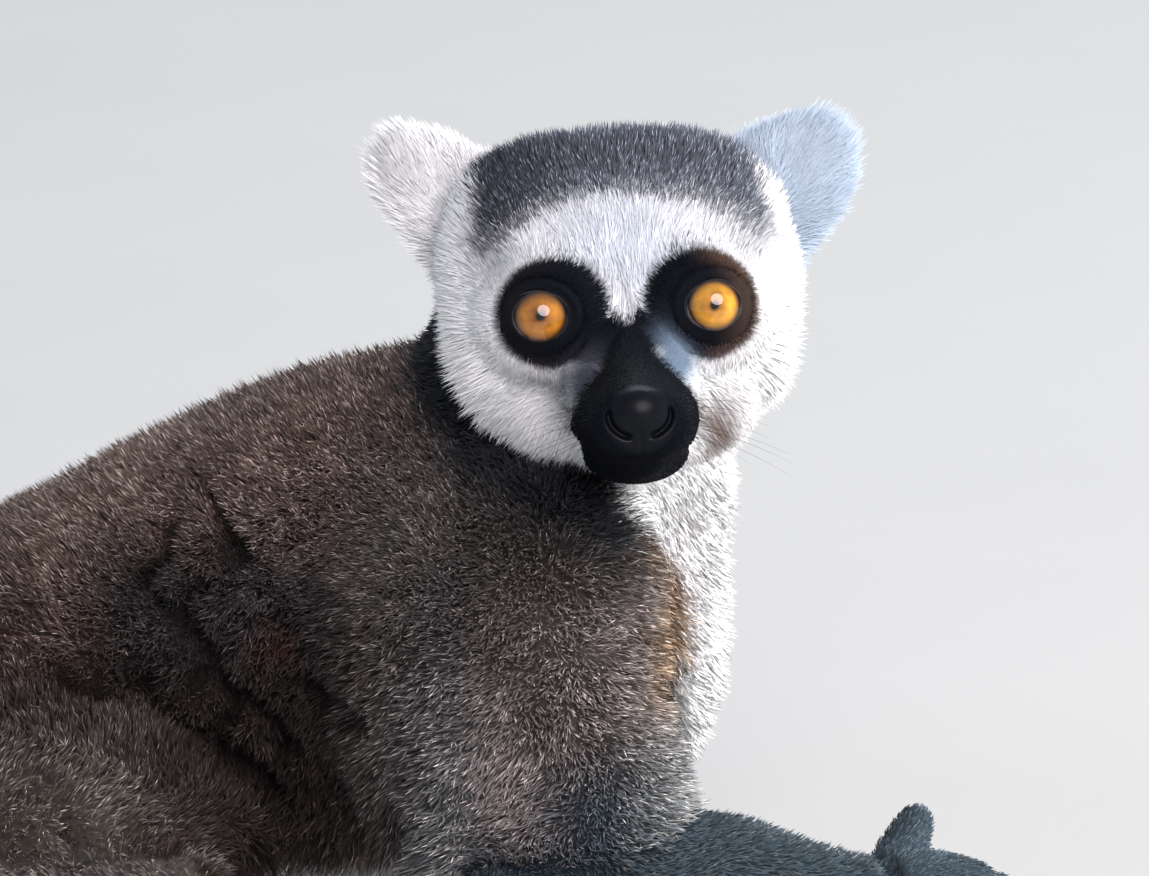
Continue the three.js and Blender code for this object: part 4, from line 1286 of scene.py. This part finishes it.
# Region by region: hair length, lock width, lift from the skin, how far single locks stray, how
# tightly the wool curls, and how pale its tips are.
BODY_COAT = {
    "trunk": (5.8, 0.31, 1.18, 0.50, 0.65, 4.6), "neck": (7.4, 0.32, 0.98, 0.32, 0.40, 2.4),
    "arm": (5.6, 0.31, 1.10, 0.38, 0.50, 3.0), "forearm": (2.9, 0.22, 0.75, 0.26, 0.30, 1.4),
    "hand": (1.7, 0.21, 0.40, 0.20, 0.15, 0.8), "thigh": (5.3, 0.31, 1.12, 0.50, 0.65, 4.6),
    "shank": (4.4, 0.28, 0.85, 0.28, 0.30, 1.4), "foot": (2.0, 0.26, 0.40, 0.20, 0.15, 0.8),
    "tail": (11.0, 0.56, 0.92, 0.28, 0.3, 0.5),
}
region_table = {name: i for i, name in enumerate(BODY_COAT)}


def body_coat(name, slot, count, chosen_triangles, density=None):
    """Roots, lays and colours the locks over some of the body's triangles."""
    pick = np.flatnonzero(chosen_triangles)
    triangles = body_triangles[pick]
    weight = np.ones(len(pick)) if density is None else density[pick]
    chosen, shares = rooted(body_points, triangles, weight, count)
    roots, normals, lie, tail_t, along, around_cos, around_sin = (
        shared_out(values, triangles, chosen, shares) for values in
        (body_points, body_normals, body_lie, body_tail_t, body_along, body_around_cos, body_around_sin))
    normals = unit(normals)
    region = body_region[triangles[chosen, 0]]
    fleshy = np.isin(region, ["trunk", "thigh"])
    coat = np.array(list(BODY_COAT.values()))[[region_table[r] for r in region]]
    length, width, lift, stray, curl, pale = coat.T
    on_side = np.abs(normals[:, 1]) * fleshy
    hanging = 0.55 + 0.9 * smooth(44, 24, roots[:, 2])
    lie = lie + np.array([0, 0, -1.0]) * (on_side * hanging)[:, None]
    near_head = smooth(60, 44, np.linalg.norm(roots - head_middle, axis=1)) * (region == "neck")
    length = length * (1 - 0.45 * near_head)
    loose = smooth(0.35, 0.75, np.abs(normals[:, 1])) * (roots[:, 0] < -45) * fleshy
    creased = crease_depth(roots[:, 0], roots[:, 2]) * loose
    above_crease = crease_depth(roots[:, 0], roots[:, 2] - 2.4) * loose
    length = length * (1 - 0.62 * np.maximum(creased, above_crease))
    length = length * (1 - 0.65 * scent_gland(roots))
    under = smooth(-0.5, -0.95, normals[:, 2])
    length = length * (1 - 0.3 * under)
    low = smooth(36, 20, roots[:, 2]) * (region == "trunk")
    length = length * (1 + 1.5 * low)
    width = width * (1 + 0.4 * smooth(-120, -150, roots[:, 0]) * (region == "trunk"))
    lift = lift - 0.35 * low
    spread = roots + random.normal(0, 0.7, roots.shape)
    colour = body_colour(spread, normals, region, tail_t + random.normal(0, 0.0012, count))
    # hair in the folds painted darker, as shade
    colour = colour * (1 - 0.88 * creased)[:, None]
    curls = tousle(roots, CURL_SIZE)[:, 2]
    colour = colour * (1 + 0.26 * curls * smooth(0.5, 0.2, colour.mean(axis=1)))[:, None]
    corners = locks(roots, normals, lie, length, width, lift, stray, curl=curl, widest=WOOLLY)
    around = np.arctan2(around_sin, around_cos) / (2 * math.pi) + 0.5
    present, column = np.unique(body_form[triangles[chosen, 0]], return_inverse=True)
    unwrap = np.stack([(column + 0.02 + 0.96 * around) / len(present), along], axis=1)
    tick = ticks(colour, pale, 0.6)
    horn = colour.mean(axis=1)[:, None] * np.array([1.09, 1.0, 0.93])
    colour = mixed(colour, horn, 0.6 * smooth(0.3, 1.5, tick))
    lit = np.stack([normals[:, 0], normals[:, 1], np.maximum(normals[:, 2], -0.3)], axis=1)
    coat_piece(name, corners, lit, 0.30, colour, tick, unwrap, slot, WOOLLY)


# Which part of the body each of its triangles is in, and how densely the locks stand there.
REAR_FROM, HIGH_FROM = -120, 74   # mm, X of the rump's coat and height of the back's
UNDER_HEAD = 27               # mm from the skull's middle, where the head hides the neck
is_trunk = triangle_region == "trunk"
right_half = body_normals[body_triangles[:, 0], 1] < 0
rear = triangle_middle[:, 0] < REAR_FROM
high = triangle_middle[:, 2] > HIGH_FROM
hidden = np.linalg.norm(triangle_middle - head_middle, axis=1) < UNDER_HEAD
right_forelimb = (np.isin(triangle_region, ["forearm", "hand"]) & (triangle_middle[:, 0] > -40)
                  & (triangle_middle[:, 1] < 0))
fuller_on_forelimb = np.where(right_forelimb, 2.6, 1.0)
fuller_on_right = 0.45 + 0.55 * smooth(0.4, -0.2, unit(body_normals)[body_triangles[:, 0], 1])
fuller_to_the_fore = 0.6 + 1.8 * smooth(-175, REAR_FROM, triangle_middle[:, 0])
body_coat("coat_back_right", "back_fur", 36000, is_trunk & right_half & ~rear & high, fuller_on_right)
body_coat("coat_flank_right", "back_fur", 38000, is_trunk & right_half & ~rear & ~high, fuller_on_right)
body_coat("coat_back_left", "back_fur", 14000, is_trunk & ~right_half & ~rear)
body_coat("coat_rump", "back_fur", 23000, is_trunk & rear, fuller_to_the_fore)
body_coat("coat_neck", "neck_fur", 19000, (triangle_region == "neck") & ~hidden, fuller_on_right)
body_coat("coat_upper_arms", "back_fur", 30000, triangle_region == "arm", fuller_on_right)
body_coat("coat_thighs", "back_fur", 27000, triangle_region == "thigh", fuller_on_right)
body_coat("coat_forearms_shanks", "limb_fur", 22000, np.isin(triangle_region, ["forearm", "shank"]),
          fuller_on_right * fuller_on_forelimb)
body_coat("coat_hands_feet", "limb_fur", 16000, np.isin(triangle_region, ["hand", "foot"]),
          fuller_on_forelimb)
body_coat("coat_tail", "tail_fur", 22000, triangle_region == "tail")

# ------------------------------------------------------------------ the coat of the head
# Short silky hair that sweeps away from the nose and out from the eyes, longest on the cheeks and
# standing a little on the cap, with a black velvet on the muzzle that leaves the nose pad bare.

head_triangles = split(head_quads)
head_triangle_middle = head_points[head_triangles].mean(axis=1)
NOSE_TIP = np.array([0.0, -44.0, -17.0])


def head_coat(name, count, chosen_triangles, velvet=False):
    """Roots, lays and colours the locks of part of the head: they sweep away from the nose. The
    velvet is the very short hair on the black of the muzzle, all but its pad."""
    pick = np.flatnonzero(chosen_triangles)
    triangles = head_triangles[pick]
    middle = head_points[triangles].mean(axis=1)
    bare = bareness(middle)
    if velvet:
        weight = bare * (1 - nose_pad(middle))
    else:
        weight = (5.5 / head_coat_length(middle)) ** 0.9 * (1 - bare) + 1e-6
    chosen, shares = rooted(head_points, triangles, weight, count)
    roots = shared_out(head_points, triangles, chosen, shares)
    normals = unit(shared_out(head_normals, triangles, chosen, shares))
    if velvet:
        keep = (bareness(roots) > 0.3) & (nose_pad(roots) < 0.2)
    else:
        keep = (bareness(roots) < 0.6) & (eye_distance(roots)[0] > 7.2) | (roots[:, 1] > 15)
    roots, normals = roots[keep], normals[keep]
    lie = unit(roots - NOSE_TIP) + np.array([0, 0, -0.35]) * smooth(5, -15, roots[:, 2])[:, None]
    length = head_coat_length(roots) if not velvet else 0.8 + 0.7 * smooth(-18, -8, roots[:, 2])
    eye, side = eye_distance(roots)
    from_eye = roots - np.stack([side * EYE_SPACING / 2, roots[:, 1], 0 * side], axis=1)
    near_eye = (smooth(15, 9.5, eye) * smooth(16, 8, roots[:, 1]))[:, None]
    lie = lie * (1 - near_eye) + unit(from_eye) * near_eye * 1.3
    width = (0.10 if velvet else 0.125) + 0.016 * length
    blur = smooth(9, 14, eye) * (0.35 + 0.75 * smooth(6, 14, roots[:, 2]))
    colour = head_colour(roots + random.normal(0, 1, roots.shape) * blur[:, None])
    slaty = smooth(0.4, 0.15, colour.mean(axis=1)) * smooth(12, 15, eye) * smooth(4, 12, roots[:, 2])
    lift = 0.40 + 0.16 * smooth(24, 34, np.abs(roots[:, 0])) - 0.12 * smooth(14, 10, eye) + 0.62 * slaty
    length = length * (1 - 0.26 * slaty)
    corners = locks(roots, normals, lie, length, width, lift, 0.15, size=7.0, curl=0.12 + 0.3 * slaty)
    around = np.arctan2(roots[:, 0], roots[:, 2]) / (2 * math.pi) + 0.5
    reach = np.arccos(np.clip(-unit(roots - np.array([0, 20.0, 0]))[:, 1], -1, 1)) / math.pi
    heading = np.stack([np.sin(around * 2 * math.pi), np.cos(around * 2 * math.pi)], axis=1)
    tick = ticks(colour, 0.2 + 5.0 * slaty, 0.15 + 0.45 * slaty)
    coat_piece(name, from_head(corners), normals @ HEAD_TURNED.T, 0.16, colour, tick,
               0.5 + 0.49 * reach[:, None] * heading, "face_fur")


front_face = head_triangle_middle[:, 1] < 13
low_face = head_triangle_middle[:, 2] < -3
head_coat("coat_brow", 32000, front_face & ~low_face)
head_coat("coat_cheeks", 38000, front_face & low_face)
head_coat("coat_crown", 29500, ~front_face)
head_coat("coat_muzzle", 10000, front_face & (head_triangle_middle[:, 2] < 0), velvet=True)

# ------------------------------------------------------------------ the coat of the ears
# Long white silky hair that fans out from the ear's root, over both faces of the leaf and past
# its rim, so that the ear's outline is soft. The left ear's is a little darker and cooler.

EAR_ROOT = (24.0, 27.0, 14.0)  # mm, the left ear's


def ear_coat(name, side, count):
    """Long silky locks that fan out from the ear's root, longest along its rim."""
    points, faces = closed(ear_points(side))
    triangles = np.array([[face[0], b, c] for face in faces for b, c in zip(face[1:], face[2:])])
    normals_here = normals_of(points, triangles)
    middle = points[triangles].mean(axis=1)
    chosen, shares = rooted(points, triangles, 0.6 + 0.4 * smooth(30, 42, np.abs(middle[:, 0])), count)
    roots = shared_out(points, triangles, chosen, shares)
    normals = unit(shared_out(normals_here, triangles, chosen, shares))
    lie = unit(roots - np.array(EAR_ROOT) * (side, 1, 1))
    rim = 1 - np.abs(normals[:, 1])
    length = 5.8 + 2.2 * rim + 1.6 * smooth(34, 42, np.abs(roots[:, 0]))
    lift = np.maximum(0.25, 0.9 * np.arcsin(np.clip((lie * normals).sum(axis=1), 0, 0.98)))
    colour = np.tile(WHITE if side < 0 else LEFT_EAR, (count, 1)) * (0.94 + 0.06 * rim)[:, None]
    corners = locks(roots, normals, lie, length, np.full(count, 0.24), lift, 0.15, size=8.0, curl=0.12)
    front = roots[:, 1] < 26
    spread = np.stack([(np.abs(roots[:, 0]) - 20) / 32, (roots[:, 2] - 5) / 50], axis=1)
    unwrap = np.stack([spread[:, 0] * 0.49 + np.where(front, 0, 0.5), spread[:, 1]], axis=1)
    coat_piece(name, from_head(corners), None, 0, colour, ticks(colour, 0, 0.1), unwrap, "face_fur")


ear_coat("coat_ear_right", -1, 12500)
ear_coat("coat_ear_left", 1, 12500)

# ------------------------------------------------------------------ the whiskers
# A few thin stiff black hairs on each side of the muzzle, swept back and drooping to fine ends.
# Each is a tube that tapers along its own curve and is rooted in the skin.

WHISKERS = 8                  # on each side
WHISKER_HALF = 0.055          # mm, half thickness at the root
HORN_CLOUDS = 700             # to a metre, in whiskers and nails


def plain_piece(name, surfaces, material):
    """Several closed surfaces in body millimetres as one piece of the model."""
    mesh = shell(name, *joined(surfaces))
    mesh.materials.append(material)
    piece = stood(name, mesh)
    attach(piece, "root")


whisker_surfaces = []
for side in (-1, 1):
    for i in range(WHISKERS):
        row, high = (i % 4) / 3, (i * 0.618) % 1
        root = np.array([side * (10.5 - 1.5 * row), -14 - 8 * row, -26 + 8 * high])
        way = unit(np.array([side, 0.75 - 0.6 * row, -0.35 + 0.45 * high]))
        long = 17 + 9 * ((i * 0.37) % 1)
        steps = np.linspace(0, 1, 5)
        line = [[*(root + way * long * t + np.array([0, 0, -0.16 * long]) * t * t),
                 WHISKER_HALF * (1 - 0.8 * t), WHISKER_HALF * (1 - 0.8 * t)] for t in steps]
        points, faces = closed(carried(line, 0, rows=9, sides=5, cap_rows=2, least=0.01))
        whisker_surfaces.append((from_head(points), faces))
whisker_hair = plain_material("whisker_hair", (0.012, 0.012, 0.013), 0.5, HORN_CLOUDS)
plain_piece("whiskers", whisker_surfaces, whisker_hair)

# ------------------------------------------------------------------ the nails
# A small dark flat nail of horn on the top of each fingertip and toe, thumbs and great toes too.
# Each is a flattened tube set along the last joint, half sunk in the skin.

NAIL_BACK, NAIL_AHEAD = 2.6, 1.6   # mm behind and ahead of the last joint's middle

nail_surfaces = []
digits = [digit for arm in (RIGHT_ARM, LEFT_ARM) for digit in finger_stations(arm)]
for outside in (-1, 1):
    digits += toe_stations(SOLE if outside < 0 else mirrored(SOLE), outside)
for digit in digits:
    (bx, by, bz, *_), (x, y, z, wide, high) = digit[-2], digit[-1]
    ahead = unit(np.array([x - bx, y - by, z - bz]))
    over = np.array([0, 0, 1.0]) if ahead[2] < 0.35 else np.array([0, 1.0, 0])
    top = unit(over - (ahead @ over) * ahead)
    tip = np.array([x, y, z]) + top * high * 0.62 + ahead * high * 0.55
    line = [[*(tip - ahead * NAIL_BACK), wide * 0.36, 0.5], [*tip, wide * 0.46, 0.6],
            [*(tip + ahead * NAIL_AHEAD - top * 0.7), wide * 0.30, 0.4]]
    nail_surfaces.append(closed(carried(line, 0, rows=8, sides=12, cap_rows=3, least=0.1)))
nail_horn = plain_material("nail_horn", (0.03, 0.027, 0.025), 0.35, HORN_CLOUDS)
plain_piece("nails", nail_surfaces, nail_horn)
